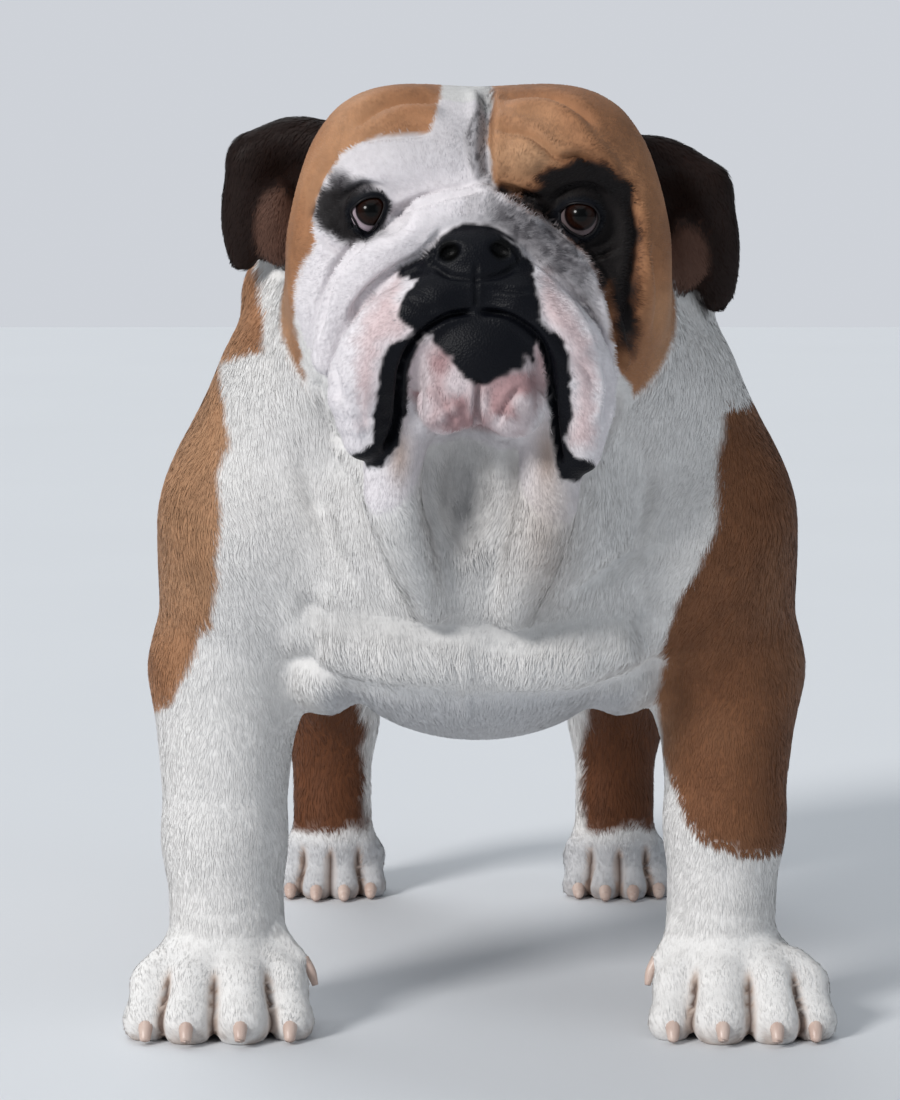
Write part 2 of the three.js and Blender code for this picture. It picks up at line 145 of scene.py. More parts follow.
def mass(at, radii, soft, lean=0.0, hollow=False):
    """An ellipsoid; lean turns it about Y, in degrees."""
    centre = np.array(at, float)
    size = np.array(radii, float)
    rotation = Matrix.Rotation(math.radians(lean), 4, "Y")
    turn = np.array(rotation.to_3x3())
    ball = Matrix.Translation(Vector(at)) @ rotation @ Matrix.Diagonal((*radii, 1.0))

    def distance(p):
        q = (p - centre) @ turn
        near = np.sqrt(((q / size) ** 2).sum(axis=1))
        steep = np.sqrt(((q / size**2) ** 2).sum(axis=1))
        return near * (near - 1.0) / np.maximum(steep, 1e-9)

    return Part(distance, soft, centre, size.max(), [ball], hollow)


def limb_distance(p, start, radius_start, end, radius_end):
    along = end - start
    t = np.clip(((p - start) @ along) / (along @ along), 0.0, 1.0)
    off = p - start - t[:, None] * along
    return np.sqrt((off * off).sum(axis=1)) - (radius_start + t * (radius_end - radius_start))


def string_of_balls(rows):
    """Balls at closely set spots between rows of place and radius."""
    balls = []
    for a, b in zip(rows[:-1], rows[1:]):
        count = max(2, math.ceil(np.linalg.norm((b - a)[:3]) / (BALL_SPACING * min(a[3], b[3]))))
        for t in np.linspace(0.0, 1.0, count):
            x, y, z, radius = a + (b - a) * t
            balls.append(Matrix.Translation((x, y, z)) @ Matrix.Scale(radius, 4))
    return balls


def limb(start, radius_start, end, radius_end, soft):
    """A tapered limb between two points."""
    a = np.array(start, float)
    b = np.array(end, float)
    reach = np.linalg.norm(b - a) / 2 + max(radius_start, radius_end)
    balls = string_of_balls(np.array([(*start, radius_start), (*end, radius_end)], float))
    return Part(lambda p: limb_distance(p, a, radius_start, b, radius_end), soft, (a + b) / 2, reach, balls)


def smooth_string(rows, steps):
    """Rows along a smooth curve through the given rows; only the first three numbers are places."""
    rows = np.array(rows, float)
    first = 2 * rows[0] - rows[1]
    last = 2 * rows[-1] - rows[-2]
    held = np.vstack([first, rows, last])
    out = []
    for t in np.linspace(0.0, len(rows) - 1, steps + 1):
        i = min(int(t), len(rows) - 2)
        w = t - i
        a, b, c, d = held[i:i + 4]
        ab, bc, cd = (np.linalg.norm((v - u)[:3]) ** 0.5 for u, v in ((a, b), (b, c), (c, d)))
        leave = ((b - a) / ab - (c - a) / (ab + bc) + (c - b) / bc) * bc
        arrive = ((c - b) / bc - (d - b) / (bc + cd) + (d - c) / cd) * bc
        cubic = 2 * b - 2 * c + leave + arrive
        square = -3 * b + 3 * c - 2 * leave - arrive
        out.append(b + leave * w + square * w**2 + cubic * w**3)
    return np.array(out)


def roll(points, soft, steps=8, hollow=False):
    """A roll of flesh: a smooth string through points, each with its radius as fourth number."""
    spots = smooth_string(points, steps)

    def distance(p):
        nearest = np.full(len(p), 1e3)
        for a, b in zip(spots[:-1], spots[1:]):
            nearest = np.minimum(nearest, limb_distance(p, a[:3], a[3], b[:3], b[3]))
        return nearest

    low = spots[:, :3].min(axis=0)
    high = spots[:, :3].max(axis=0)
    reach = np.linalg.norm(high - low) / 2 + spots[:, 3].max()
    return Part(distance, soft, (low + high) / 2, reach, string_of_balls(spots), hollow)


def mirrored(make):
    return make(-1) + make(1)


def melted(parts, p):
    """Distance to all the masses together, melted into each other over each one's softness."""
    d = np.full(len(p), 1e3)
    for part in parts:
        e = part.distance(p)
        k = part.soft
        if part.hollow:
            h = np.maximum(k - np.abs(d + e), 0.0) / k
            d = np.maximum(d, -e) + h * h * k / 4
        else:
            h = np.maximum(k - np.abs(d - e), 0.0) / k
            d = np.minimum(d, e) - h * h * k / 4
    return d


def together(parts, p):
    """As melted, block by block, each with only the masses that reach near it."""
    d = np.empty(len(p))
    cells = np.floor(p / BLOCK).astype(np.int64)
    keys = (cells[:, 0] * 1009 + cells[:, 1]) * 1009 + cells[:, 2]
    order = np.argsort(keys, kind="stable")
    bounds = np.concatenate([[0], np.nonzero(np.diff(keys[order]))[0] + 1, [len(p)]])
    places = np.array([part.at for part in parts])
    reaches = np.array([part.reach for part in parts])
    for low, high in zip(bounds[:-1], bounds[1:]):
        rows = order[low:high]
        if not len(rows):
            continue
        middle = (cells[rows[0]] + 0.5) * BLOCK
        apart = np.linalg.norm(places - middle, axis=1) - reaches - BLOCK * 0.87
        limit = max(BLOCK_MARGIN, apart.min() + BLOCK_MARGIN)
        d[rows] = melted([parts[i] for i in np.nonzero(apart < limit)[0]], p[rows])
    return d


# Masses of the dog, as place, size and softness; the order in which they melt together counts
trunk_parts = [
    mass((0, 165, 274), (120, 150, 106), 30),
    mass((0, 46, 264), (112, 56, 86), 30),
    mass((0, 74, 208), (76, 62, 47), 24),
    mass((0, 255, 276), (100, 115, 80), 30),
    mass((0, 316, 316), (90, 104, 80), 30),
    mass((0, 398, 310), (86, 64, 68), 30),
    mass((0, 150, WITHERS_HEIGHT - 36), (84, 84, 36), 40),
]
shoulder_parts = mirrored(lambda s: [
    mass((s * 112, 84, 292), (62, 68, 84), 26, lean=s * -6),
    limb((s * 126, 62, 282), 50, (s * 136, 94, 205), 46, 22),
    mass((s * ELBOW_X, 112, 188), (34, 34, 38), 18),
])
shanks = [
    limb((-143, 76, 104), 34, (-141, 68, 40), 33, 12),
    limb((140, 76, 112), 33, (137, 68, 40), 31, 12),
    limb((-93, 454, 112), 27, (-HIND_PAW_X, 440, 36), 26, 12),
    limb((93, 454, 112), 27, (HIND_PAW_X, 440, 36), 26, 12),
]
forearm_parts = [
    limb((-ELBOW_X, 86, 196), 43, (-143, 76, 104), 34, 16),
    limb((ELBOW_X, 86, 196), 42, (140, 76, 112), 33, 16),
    *shanks[:2],
]
hindleg_parts = shanks[2:] + mirrored(lambda s: [
    mass((s * 68, 388, 276), (46, 68, 78), 26),
    limb((s * 80, 392, 258), 54, (s * 92, 372, 208), 44, 22),
    limb((s * 92, 376, 204), 42, (s * 93, 448, 118), 29, 20),
    mass((s * 93, 462, 114), (22, 18, 26), 10),
])
neck_parts = [
    mass((0, 82, 414), (131, 56, 56), 30),
    mass((0, 66, 364), (142, 84, 72), 28),
    limb((0, 76, 430), 66, (0, 150, 336), 78, 40),
    mass((0, 4, 306), (72, 36, 66), 22),
]
head_parts = [
    mass((0, 34, 452), (88, 76, 75), 22),
    mass((0, -2, 478), (44, 46, 40), 22),
] + mirrored(lambda s: [
    mass((s * 60, 18, 414), (CHEEK_WIDTH / 2 - 60, 56, 66), 20),
    mass((s * 44, 4, 487), (46, 50, 41), 20),
    roll([(s * 20, -34, 492, 14), (s * 48, -34, 486, 14), (s * 72, -20, 474, 13),
          (s * 84, -6, 446, 12)], 14),
    mass((s * 78, -2, 436), (24, 38, 60), 14),
])
muzzle_parts = [
    mass((0, -34, 420), (62, 38, 42), 14),
    roll([(1, -51, 463, 13), (-23, -52, 458, 14), (-45, -51, 445, 15), (-62, -47, 428, 14),
          (-73, -42, 410, 12), (-79, -34, 384, 11)], 4),
    roll([(1, -51, 463, 13), (18, -51, 460, 13), (43, -49, 438, 13), (55, -45, 424, 12),
          (64, -41, 408, 11), (71, -35, 382, 10)], 4),
    roll([(-22, -66, 414, 19), (-44, -64, 398, 22), (-61, -58, 372, 20), (-60, -54, 343, 13)], 5),
    roll([(20, -66, 414, 19), (43, -62, 394, 21), (55, -56, 368, 18), (53, -54, 336, 13)], 5),
]
nose_parts = [
    mass((-3, -62, 437), (27, 16, 17), 5),
    mass((-3, -70, 421), (19, 12, 12), 8),
    mass((-16, -77, 441.5), (6.2, 8.5, 3.6), 2.5, lean=-28, hollow=True),
    mass((11, -77, 442.5), (6.2, 8.5, 3.6), 2.5, lean=28, hollow=True),
]
chin_parts = [
    mass((1, -66, 384), (37, 24, 32), 8),
    mass((0, -30, 370), (48, 46, 34), 18),
    mass((-16, -78, 362), (17, 13, 17), 7),
    mass((18, -78, 361), (17, 13, 17), 7),
]
dewlap_parts = [
    roll([(-40, -38, 350, 16), (-46, -40, 314, 17), (-38, -32, 280, 15), (-27, -14, 250, 12)], 8),
    roll([(38, -38, 350, 16), (37, -42, 314, 18), (30, -34, 280, 16), (20, -14, 248, 13)], 8),
    mass((-7, -56, 311), (21, 42, 42), 8, hollow=True),
]
brisket_parts = [
    roll([(-96, 46, 232, 16), (-64, 18, 222, 20), (-26, 8, 219, 20), (6, 8, 219, 19), (34, 8, 216, 20),
          (68, 18, 220, 19), (98, 46, 232, 16)], 9),
    mass((-85, 76, 200), (24, 45, 26), 8),
    mass((80, 76, 200), (26, 45, 26), 8),
]
ear_parts = [
    roll([(-78, 50, 494, 14), (-102, 54, 498, 13), (-124, 52, 488, 13)], 10),
    mass((-127, 50, 462), (15, 11, 38), 10, lean=4),
    mass((-106, 56, 474), (26, 9, 30), 8),
    mass((-110, 46, 452), (13, 10, 24), 4),
    roll([(80, 50, 488, 14), (104, 54, 486, 13), (125, 52, 472, 14)], 10),
    mass((130, 50, 442), (15, 11, 40), 10, lean=-4),
    mass((108, 56, 460), (26, 9, 30), 8),
    mass((112, 46, 436), (13, 10, 22), 4),
]
tail_parts = [roll([(0, 440, 338, 20), (4, 466, 322, 17), (-3, 474, 298, 13), (2, 470, 276, 7)], 6)]
socket_parts = [mass((x, y - 18, z + 1), (20, 17, 14), 8, hollow=True) for x, y, z in EYES.values()]
lid_parts = [mass(at, (EYE_RADIUS + LID_THICKNESS,) * 3, 4) for at in EYES.values()]


# The toes start closer together than they end, and the outer two are set further back
ROOT_SPREAD = 0.76
INNER_TOE_SETBACK = 17
OUTER_TOE_SETBACK = 25
PAD_SOFTNESS = 14
TOE_ARCH_SOFTNESS = 9
TOE_TIP_SOFTNESS = 8

# Each toe's side and thickness, from the inside out
TOES = {
    "fore_right": [(-104, 12), (-131, 15.5), (-161, 14.5), (-184, 12.5)],
    "fore_left": [(108, 12), (135, 15.5), (165, 14.5), (187, 12)],
    "hind_right": [(-67, 9), (-84, 9.5), (-102, 9.5), (-119, 9)],
    "hind_left": [(68, 9), (85, 9.5), (103, 9.5), (120, 9)],
}


def paw_shape(x, toe_y, width, height, back, spots):
    """One paw: a pad and four arched toes."""
    toes = []
    for i, (tip_x, fat) in enumerate(spots):
        root_x = x + (tip_x - x) * ROOT_SPREAD
        tip_y = toe_y + (OUTER_TOE_SETBACK if i in (0, 3) else INNER_TOE_SETBACK)
        heel_y = toe_y + back * 0.75
        toes.append({
            "fat": fat,
            "root": (root_x, heel_y, height * 0.78),
            "knuckle": ((root_x + 2 * tip_x) / 3, tip_y + 15, height * 0.62),
            "tip": (tip_x, tip_y, fat * 0.78),
            "sole": (root_x, heel_y, fat * 0.9),
        })
    size = (width * 0.44, back * 0.6, height * 0.62)
    pad = mass((x, toe_y + back, height * 0.55), size, PAD_SOFTNESS)
    return {"toes": toes, "pad": pad}


paws = {
    "fore_right": paw_shape(-FORE_PAW_X, 0, 104, 44, 62, TOES["fore_right"]),
    "fore_left": paw_shape(FORE_PAW_X, 0, 100, 44, 62, TOES["fore_left"]),
    "hind_right": paw_shape(-HIND_PAW_X, 400, 70, 38, 44, TOES["hind_right"]),
    "hind_left": paw_shape(HIND_PAW_X, 400, 71, 38, 44, TOES["hind_left"]),
}
paw_parts = [paw["pad"] for paw in paws.values()]
for paw in paws.values():
    for toe in paw["toes"]:
        fat = toe["fat"]
        paw_parts.append(limb(toe["root"], fat, toe["knuckle"], fat, TOE_ARCH_SOFTNESS))
        paw_parts.append(limb(toe["knuckle"], fat, toe["tip"], fat, TOE_TIP_SOFTNESS))
        paw_parts.append(limb(toe["sole"], fat, toe["tip"], fat, TOE_TIP_SOFTNESS))
# Small lumps that the dewclaws grow from
paw_parts.append(limb((-112, 58, 52), 5, (-98, 50, 39), 4.0, 10))
paw_parts.append(limb((112, 58, 52), 5, (101, 50, 39), 3.8, 10))

body_parts = [*trunk_parts, *shoulder_parts, *neck_parts, *brisket_parts]
skull_parts = [*head_parts, *muzzle_parts, *nose_parts, *chin_parts]
flesh_parts = [
    *body_parts, *head_parts, *forearm_parts, *hindleg_parts, *paw_parts, *muzzle_parts, *chin_parts,
    *dewlap_parts, *nose_parts, *ear_parts, *tail_parts, *socket_parts, *lid_parts,
]

# How far back of each eye's middle its opening reaches, and how round the lids' edges are
LID_FLOOR = 2.5
LID_EDGE = 1.2


def outline_distance(x, z, outline):
    """Signed distance in the front view to a closed outline, negative inside it."""
    nearest = np.full(len(x), 1e9)
    inside = np.zeros(len(x), bool)
    for (ax, az), (bx, bz) in zip(outline, outline[1:] + outline[:1]):
        dx = bx - ax
        dz = bz - az
        t = np.clip(((x - ax) * dx + (z - az) * dz) / (dx * dx + dz * dz), 0.0, 1.0)
        nearest = np.minimum(nearest, np.hypot(x - ax - t * dx, z - az - t * dz))
        if az != bz:
            inside ^= ((az > z) != (bz > z)) & (x < dx * (z - az) / dz + ax)
    return np.where(inside, -nearest, nearest)


def rounded(outline, steps):
    """A closed outline with its corners rounded by a smooth curve."""
    count = len(outline)
    rows = [(x, z, 0.0) for x, z in outline]
    ring = smooth_string(rows[-3:] + rows + rows[:3], (count + 5) * steps)
    return [tuple(r[:2]) for r in ring[3 * steps:(count + 3) * steps]]


lid_outlines = {side: rounded(points, 4) for side, points in LID_OPENINGS.items()}


def flesh(p):
    """Distance to the outer shape of the whole dog, with the lids open."""
    d = together(flesh_parts, p)
    for side, (x, y, z) in EYES.items():
        near = np.nonzero((np.abs(p[:, 0] - x) < 24) & (np.abs(p[:, 2] - z) < 24) & (p[:, 1] < y + 14))[0]
        if not len(near):
            continue
        q = p[near]
        opening = outline_distance(q[:, 0], q[:, 2], lid_outlines[side])
        opening = np.maximum(opening, q[:, 1] - (y - LID_FLOOR))
        h = np.maximum(LID_EDGE - np.abs(d[near] + opening), 0.0) / LID_EDGE
        d[near] = np.maximum(d[near], -opening) + h * h * LID_EDGE / 4
    return d


# Four probes at the corners of a small cube give the field and its slope
CORNERS = np.array([(1, 1, 1), (1, -1, -1), (-1, 1, -1), (-1, -1, 1)], float)
PROBE = 0.4


def flesh_and_slope(p):
    """The field and its gradient, from four probes round each point."""
    probes = flesh(np.concatenate([p + corner * PROBE for corner in CORNERS])).reshape(4, -1)
    value = probes.mean(axis=0)
    slope = sum(v[:, None] * corner for v, corner in zip(probes, CORNERS)) / (4 * PROBE)
    return value, slope


# Points that move less than this have arrived; flat spots of the field are taken as this steep
CLOSE_ENOUGH = 0.03
LEAST_STEEPNESS = 0.09


def settle(p, depth, rounds, longest):
    """Draws points to the surface that lies depth inside the flesh."""
    p = p.copy()
    off = np.arange(len(p))
    for _ in range(rounds):
        q = p[off]
        value, slope = flesh_and_slope(q)
        steep = np.maximum((slope * slope).sum(axis=1), LEAST_STEEPNESS)
        move = -((value + depth(q)) / steep)[:, None] * slope
        length = np.linalg.norm(move, axis=1)
        p[off] = q + move * np.minimum(1.0, longest / np.maximum(length, 1e-9))[:, None]
        off = off[length > CLOSE_ENOUGH]
        if not len(off):
            break
    return p


# Folds and creases, drawn in the front view


def stroke(path, width, rise, ends=0.12, banks=0.0):
    """A fold, or with a rise above 0 a swelling, that fades at its ends and may have raised banks."""
    spots = smooth_string([(x, z, 0.0) for x, z in path], 6 * len(path))[:, :2]
    return {"path": spots, "width": width, "rise": rise, "ends": ends, "banks": banks}


def stroke_height(p, mark):
    """How far each point is raised by one stroke."""
    path = mark["path"]
    steps = np.linalg.norm(np.diff(path, axis=0), axis=1)
    travelled = np.concatenate([[0.0], np.cumsum(steps)]) / steps.sum()
    nearest = np.full(len(p), 1e9)
    place = np.zeros(len(p))
    for i, (a, b) in enumerate(zip(path[:-1], path[1:])):
        along = b - a
        off = p[:, [0, 2]] - a
        t = np.clip((off @ along) / (along @ along), 0.0, 1.0)
        apart = np.linalg.norm(off - t[:, None] * along, axis=1)
        closer = apart < nearest
        nearest = np.where(closer, apart, nearest)
        place = np.where(closer, travelled[i] + t * (travelled[i + 1] - travelled[i]), place)
    fade = smooth_step(place, 0.0, mark["ends"]) * smooth_step(1.0 - place, 0.0, mark["ends"])
    line = np.exp(-((nearest / mark["width"]) ** 2))
    bank = np.exp(-(((nearest - 2.1 * mark["width"]) / (1.1 * mark["width"])) ** 2))
    return mark["rise"] * fade * (line - mark["banks"] * bank)


FACE_FOLD_DEPTH = 1.35
CHEST_FOLD_DEPTH = 1.05
WRIST_FOLD_DEPTH = 1.0
# Close to an eye a fold may cut no deeper than this, so that it stays out of the lids
FOLD_LIMIT_AT_LIDS = 0.9
FACE_STROKES = [
    # under and over the roll that rides across the nose
    stroke([(-18, 454), (-30, 440), (-44, 432), (-56, 423), (-65, 412), (-68, 402)], 1.8, -3.0, 0.15, 0.2),
    stroke([(22, 443), (36, 432), (47, 422), (56, 411), (61, 402), (65, 388)], 1.8, -3.0, 0.15, 0.2),
    stroke([(4, 474), (-13, 472), (-28, 468), (-40, 463), (-51, 455), (-62, 446), (-71, 437), (-79, 424),
            (-83, 409), (-86, 392)], 2.2, -2.6, 0.1, 0.2),
    stroke([(4, 474), (20, 472), (34, 462), (45, 451), (56, 440), (65, 427), (71, 410), (75, 390),
            (76, 368)], 2.2, -3.0, 0.1, 0.2),
    # folds of the flews
    stroke([(31, 416), (39, 401), (48, 388), (56, 380), (62, 368)], 2.2, -1.4, 0.25, 0.3),
    stroke([(65, 387), (68, 373), (67, 360), (64, 348)], 1.8, -2.4, 0.25, 0.3),
    stroke([(-77, 384), (-75, 374), (-73, 362)], 2.4, -1.6, 0.3, 0.3),
    stroke([(-66, 366), (-60, 352), (-58, 340)], 2.6, -0.9, 0.3, 0.3),
    stroke([(-87, 372), (-85, 356), (-80, 342), (-73, 331)], 2.4, -2.4, 0.2, 0.2),
    stroke([(75, 366), (73, 352), (69, 337), (66, 326)], 2.4, -2.8, 0.2, 0.2),
    # mouth
    stroke([(-2, 411), (-15, 409), (-26, 403), (-35, 394), (-40, 382), (-42, 368), (-44, 350),
            (-50, 335)], 1.5, -4.4, 0.08, 0.1),
    stroke([(-2, 411), (11, 410), (22, 405), (31, 397), (36, 386), (38, 373), (39, 356), (41, 340),
            (43, 328)], 1.5, -4.4, 0.08, 0.1),
    stroke([(-30, 394), (-34, 380), (-35, 364), (-37, 348)], 5.0, -2.6, 0.3),
    stroke([(29, 394), (32, 380), (33, 364), (34, 348)], 5.0, -2.6, 0.3),
    stroke([(-2, 436), (-2, 426), (-2, 412)], 0.9, -1.6, 0.15, 0.2),
    stroke([(-27, 437), (-17, 430), (-2, 428), (12, 430), (23, 437)], 1.5, -1.5, 0.2, 0.2),
    stroke([(-22, 443), (-25, 439), (-26, 434)], 1.1, -2.0, 0.3, 0.2),
    stroke([(17, 444), (20, 440), (21, 435)], 1.1, -2.0, 0.3, 0.2),
    stroke([(-39, 419), (-30, 413), (-20, 411)], 1.6, -0.8, 0.3, 0.3),
    stroke([(6, 423), (16, 422), (28, 421)], 1.2, -1.0, 0.3, 0.3),
    # chin
    stroke([(0, 378), (-1, 363), (-1, 347)], 1.8, -3.2, 0.25, 0.3),
    stroke([(-26, 376), (-18, 362), (-12, 350)], 1.8, -1.6, 0.3, 0.3),
    stroke([(22, 374), (13, 361), (9, 350)], 1.8, -1.6, 0.3, 0.3),
    # round the eyes
    stroke([(-86, 452), (-78, 443), (-69, 439)], 2.0, -1.6, 0.3, 0.3),
    stroke([(-73, 466), (-67, 473), (-58, 476), (-48, 472)], 1.6, -1.9, 0.25, 0.3),
    stroke([(37, 466), (46, 473), (58, 475), (70, 468)], 1.6, -1.9, 0.25, 0.3),
    stroke([(36, 449), (48, 441), (62, 438), (75, 443)], 1.6, -1.9, 0.25, 0.3),
    # cheeks
    stroke([(-75, 494), (-83, 481), (-88, 468), (-92, 450)], 2.6, -2.0, 0.2, 0.3),
    stroke([(76, 474), (82, 460), (83, 440), (79, 418), (78, 396)], 2.6, -2.4, 0.2, 0.3),
    stroke([(90, 446), (96, 425), (97, 406), (93, 390)], 2.8, -2.6, 0.25, 0.3),
    # forehead
    stroke([(3, 532), (4, 518), (4, 506), (3, 493), (5, 478)], 3.0, -4.2, 0.1, 0.3),
    stroke([(-68, 504), (-59, 512), (-48, 518), (-34, 520), (-18, 519)], 2.0, -2.2, 0.2, 0.2),
    stroke([(-66, 498), (-53, 501), (-40, 502), (-24, 503)], 2.0, -2.4, 0.2, 0.2),
    stroke([(9, 520), (23, 523), (38, 522), (53, 515), (64, 504)], 2.2, -2.4, 0.2, 0.2),
    stroke([(6, 504), (14, 505), (25, 503), (34, 496), (42, 490), (53, 491), (64, 485)],
           2.2, -3.2, 0.15, 0.2),
    stroke([(5, 478), (15, 473), (26, 469), (37, 468)], 2.0, -2.0, 0.3, 0.3),
]
SWELLS = [
    stroke([(15, 489), (25, 490), (33, 483)], 7.5, 2.6, 0.4),
    stroke([(-59, 503), (-49, 509), (-38, 513), (-27, 513), (-16, 512)], 3.6, 2.0, 0.2),
    stroke([(-72, 510), (-62, 518), (-49, 525), (-34, 527), (-20, 527)], 3.6, 1.6, 0.2),
    stroke([(8, 512), (19, 515), (34, 516), (46, 511), (56, 501), (67, 489), (77, 474)], 3.8, 2.2, 0.15),
    stroke([(86, 450), (89, 426), (86, 396)], 3.6, 1.8, 0.3),
    stroke([(-93, 462), (-98, 440), (-99, 415), (-96, 396)], 3.6, 1.8, 0.3),
    stroke([(-21, 362), (-16, 354)], 8.0, 2.0, 0.5),
    stroke([(20, 363), (14, 354)], 8.0, 2.0, 0.5),
]
CHEST_STROKES = [
    stroke([(-106, 299), (-86, 302), (-66, 307)], 5.0, -0.6, 0.4),
    stroke([(46, 251), (64, 262), (84, 274), (106, 286)], 4.0, -2.4, 0.25, 0.4),
    stroke([(-36, 230), (-20, 233), (-6, 229)], 4.5, -0.7, 0.4),
    stroke([(-4, 227), (18, 225), (42, 225)], 4.5, -0.8, 0.4),
    stroke([(-75, 207), (-59, 203), (-28, 200), (-9, 203)], 4.0, -1.4, 0.3, 0.2),
    stroke([(-1, 199), (25, 197), (60, 200), (76, 207), (104, 217)], 4.0, -1.5, 0.3, 0.2),
    stroke([(-6, 236), (-7, 205), (-6, 174)], 2.6, 1.4, 0.3),
    stroke([(-98, 256), (-90, 234), (-94, 206)], 6.0, -3.6, 0.3, 0.4),
    stroke([(94, 262), (90, 238), (96, 210)], 6.0, -3.0, 0.3, 0.4),
    # loose skin of the neck beside the two pillars of the dewlap
    stroke([(-72, 330), (-64, 300), (-54, 268), (-44, 246)], 4.5, -2.2, 0.3, 0.5),
    stroke([(62, 322), (58, 296), (50, 268), (42, 248)], 4.5, -2.2, 0.3, 0.5),
    stroke([(-98, 346), (-94, 314), (-80, 280), (-62, 250)], 5.0, -1.6, 0.3, 0.5),
    stroke([(90, 342), (92, 312), (86, 284), (70, 254)], 5.0, -1.8, 0.3, 0.5),
]
WRIST_STROKES = [
    # skin over the wrists
    stroke([(-176, 78), (-158, 69), (-134, 68), (-112, 78)], 4.5, -0.5, 0.35),
    stroke([(174, 74), (156, 67), (132, 67), (110, 75)], 4.5, -0.5, 0.35),
]


def folds(p, normals):
    """Height of the folds at each point of the front of the dog."""
    rise = np.zeros(len(p))
    facing = smooth_step(-normals[:, 1], 0.05, 0.35)
    groups = [
        (FACE_STROKES + SWELLS, FACE_FOLD_DEPTH, 318, 560, 60),
        (CHEST_STROKES, CHEST_FOLD_DEPTH, 150, 352, 70),
        (WRIST_STROKES, WRIST_FOLD_DEPTH, 36, 112, 90),
    ]
    for marks, depth, low, high, back in groups:
        near = np.nonzero((facing > 0) & (p[:, 2] > low) & (p[:, 2] < high) & (p[:, 1] < back))[0]
        for mark in marks:
            rise[near] += depth * stroke_height(p[near], mark)
    rise = rise * facing
    for ex, _, ez in EYES.values():
        apart = np.hypot(p[:, 0] - ex, p[:, 2] - ez)
        rise = np.maximum(rise, -FOLD_LIMIT_AT_LIDS - 8.0 * smooth_step(apart, 12.5, 17.0))
    return rise + toe_gaps(p)


TOE_GAP_WIDTH = 2.4
TOE_GAP_DEPTH = 2.2
HIGHEST_TOE_GAP = 56


def toe_gaps(p):
    """Height of the gaps between the toes, as seen from above."""
    rise = np.zeros(len(p))
    low = np.nonzero(p[:, 2] < HIGHEST_TOE_GAP)[0]
    q = p[low]
    for paw in paws.values():
        for one, two in zip(paw["toes"][:-1], paw["toes"][1:]):
            share = one["fat"] / (one["fat"] + two["fat"])
            root, tip = (np.array(one[end]) * (1 - share) + np.array(two[end]) * share
                         for end in ("root", "tip"))
            along = (tip - root)[:2]
            t = ((q[:, :2] - root[:2]) @ along) / (along @ along)
            nearest = np.clip(t, 0.1, 1.6)[:, None] * along
            apart = np.linalg.norm(q[:, :2] - root[:2] - nearest, axis=1)
            top = one["knuckle"][2] + 14
            fade = smooth_step(t, 0.1, 0.7) * smooth_step(1.9 - t, 0.0, 0.3)
            fade = fade * smooth_step(top - q[:, 2], 0.0, 14.0)
            rise[low] -= TOE_GAP_DEPTH * fade * np.exp(-((apart / TOE_GAP_WIDTH) ** 2))
    return rise


# Markings: outlines in the front view, and where the coat changes colour behind them
WHITE = (0.80, 0.785, 0.77)
TAN = (0.40, 0.195, 0.098)
DEEP_TAN = (0.13, 0.049, 0.022)
PALE_TAN = (0.55, 0.33, 0.19)
EAR_BROWN = (0.017, 0.008, 0.006)
EAR_PINK = (0.15, 0.075, 0.052)
MASK_BLACK = (0.009, 0.007, 0.007)
MASK_GREY = (0.040, 0.036, 0.042)
LIP_BLACK = (0.0040, 0.0045, 0.0070)
# painted shade inside the nostrils, darker than the leather's own black
NOSTRIL_SHADE_BLACK = (0.001, 0.001, 0.001)
MUZZLE_WHITE = (0.80, 0.762, 0.785)
PINK = (0.68, 0.50, 0.50)
CHIN_PINK = (0.38, 0.215, 0.22)
STAIN = (0.36, 0.22, 0.14)
# dark brown stain with painted shade, for the gaps between the toes
DARK_STAIN_AND_SHADE = (0.060, 0.036, 0.030)
# painted shade for the hollow of the throat
THROAT_SHADE_GREY = (0.13, 0.13, 0.135)
# painted shade for the dog's left pillar of the dewlap
DEWLAP_SHADE = (0.50, 0.43, 0.385)
# thinner greyer hair, and painted shade under the chest and on the hind paws
THIN_HAIR_AND_SHADE_GREY = (0.44, 0.45, 0.48)

TAN_OF_RIGHT_FACE = [
    (-18, 560), (-20, 520), (-24, 508), (-25, 503), (-38, 502), (-51, 501), (-62, 497), (-73, 490),
    (-82, 478), (-86, 466), (-88, 457), (-86, 445), (-91, 437), (-97, 424), (-99, 402), (-96, 388),
    (-93, 366), (-240, 366), (-240, 560),
]
TAN_OF_LEFT_FACE = [
    (7, 560), (7, 522), (6, 511), (3, 498), (6, 487), (7, 476), (16, 471), (28, 463), (40, 454),
    (52, 445), (61, 436), (66, 419), (69, 399), (73, 380), (84, 362), (240, 362), (240, 560),
]
FURROW_GREY = [
    (6, 530), (-1, 518), (-4, 509), (-8, 504), (-7, 491), (-3, 482), (2, 474), (7, 476), (6, 487),
    (3, 498), (7, 511), (8, 524),
]
BLACK_PATCH = [
    (12, 472), (22, 470), (30, 475), (37, 484), (52, 489), (67, 485), (78, 474), (82, 459), (81, 447),
    (76, 434), (71, 424), (64, 422), (60, 434), (51, 444), (38, 453), (28, 461), (16, 468),
]
CHEEK_STREAK = [(62, 436), (67, 424), (71, 408), (75, 392), (80, 384), (84, 402), (84, 427), (80, 446)]
GREY_PATCH = [
    (-75, 482), (-60, 478), (-50, 471), (-47, 462), (-50, 452), (-60, 446), (-72, 446), (-83, 452),
    (-87, 460), (-83, 471),
]
GREY_ROLL = [
    (-6, 472), (6, 471), (18, 467), (34, 458), (51, 445), (62, 429), (66, 402), (58, 408), (47, 424),
    (34, 434), (22, 444), (11, 452), (0, 457), (-8, 460),
]
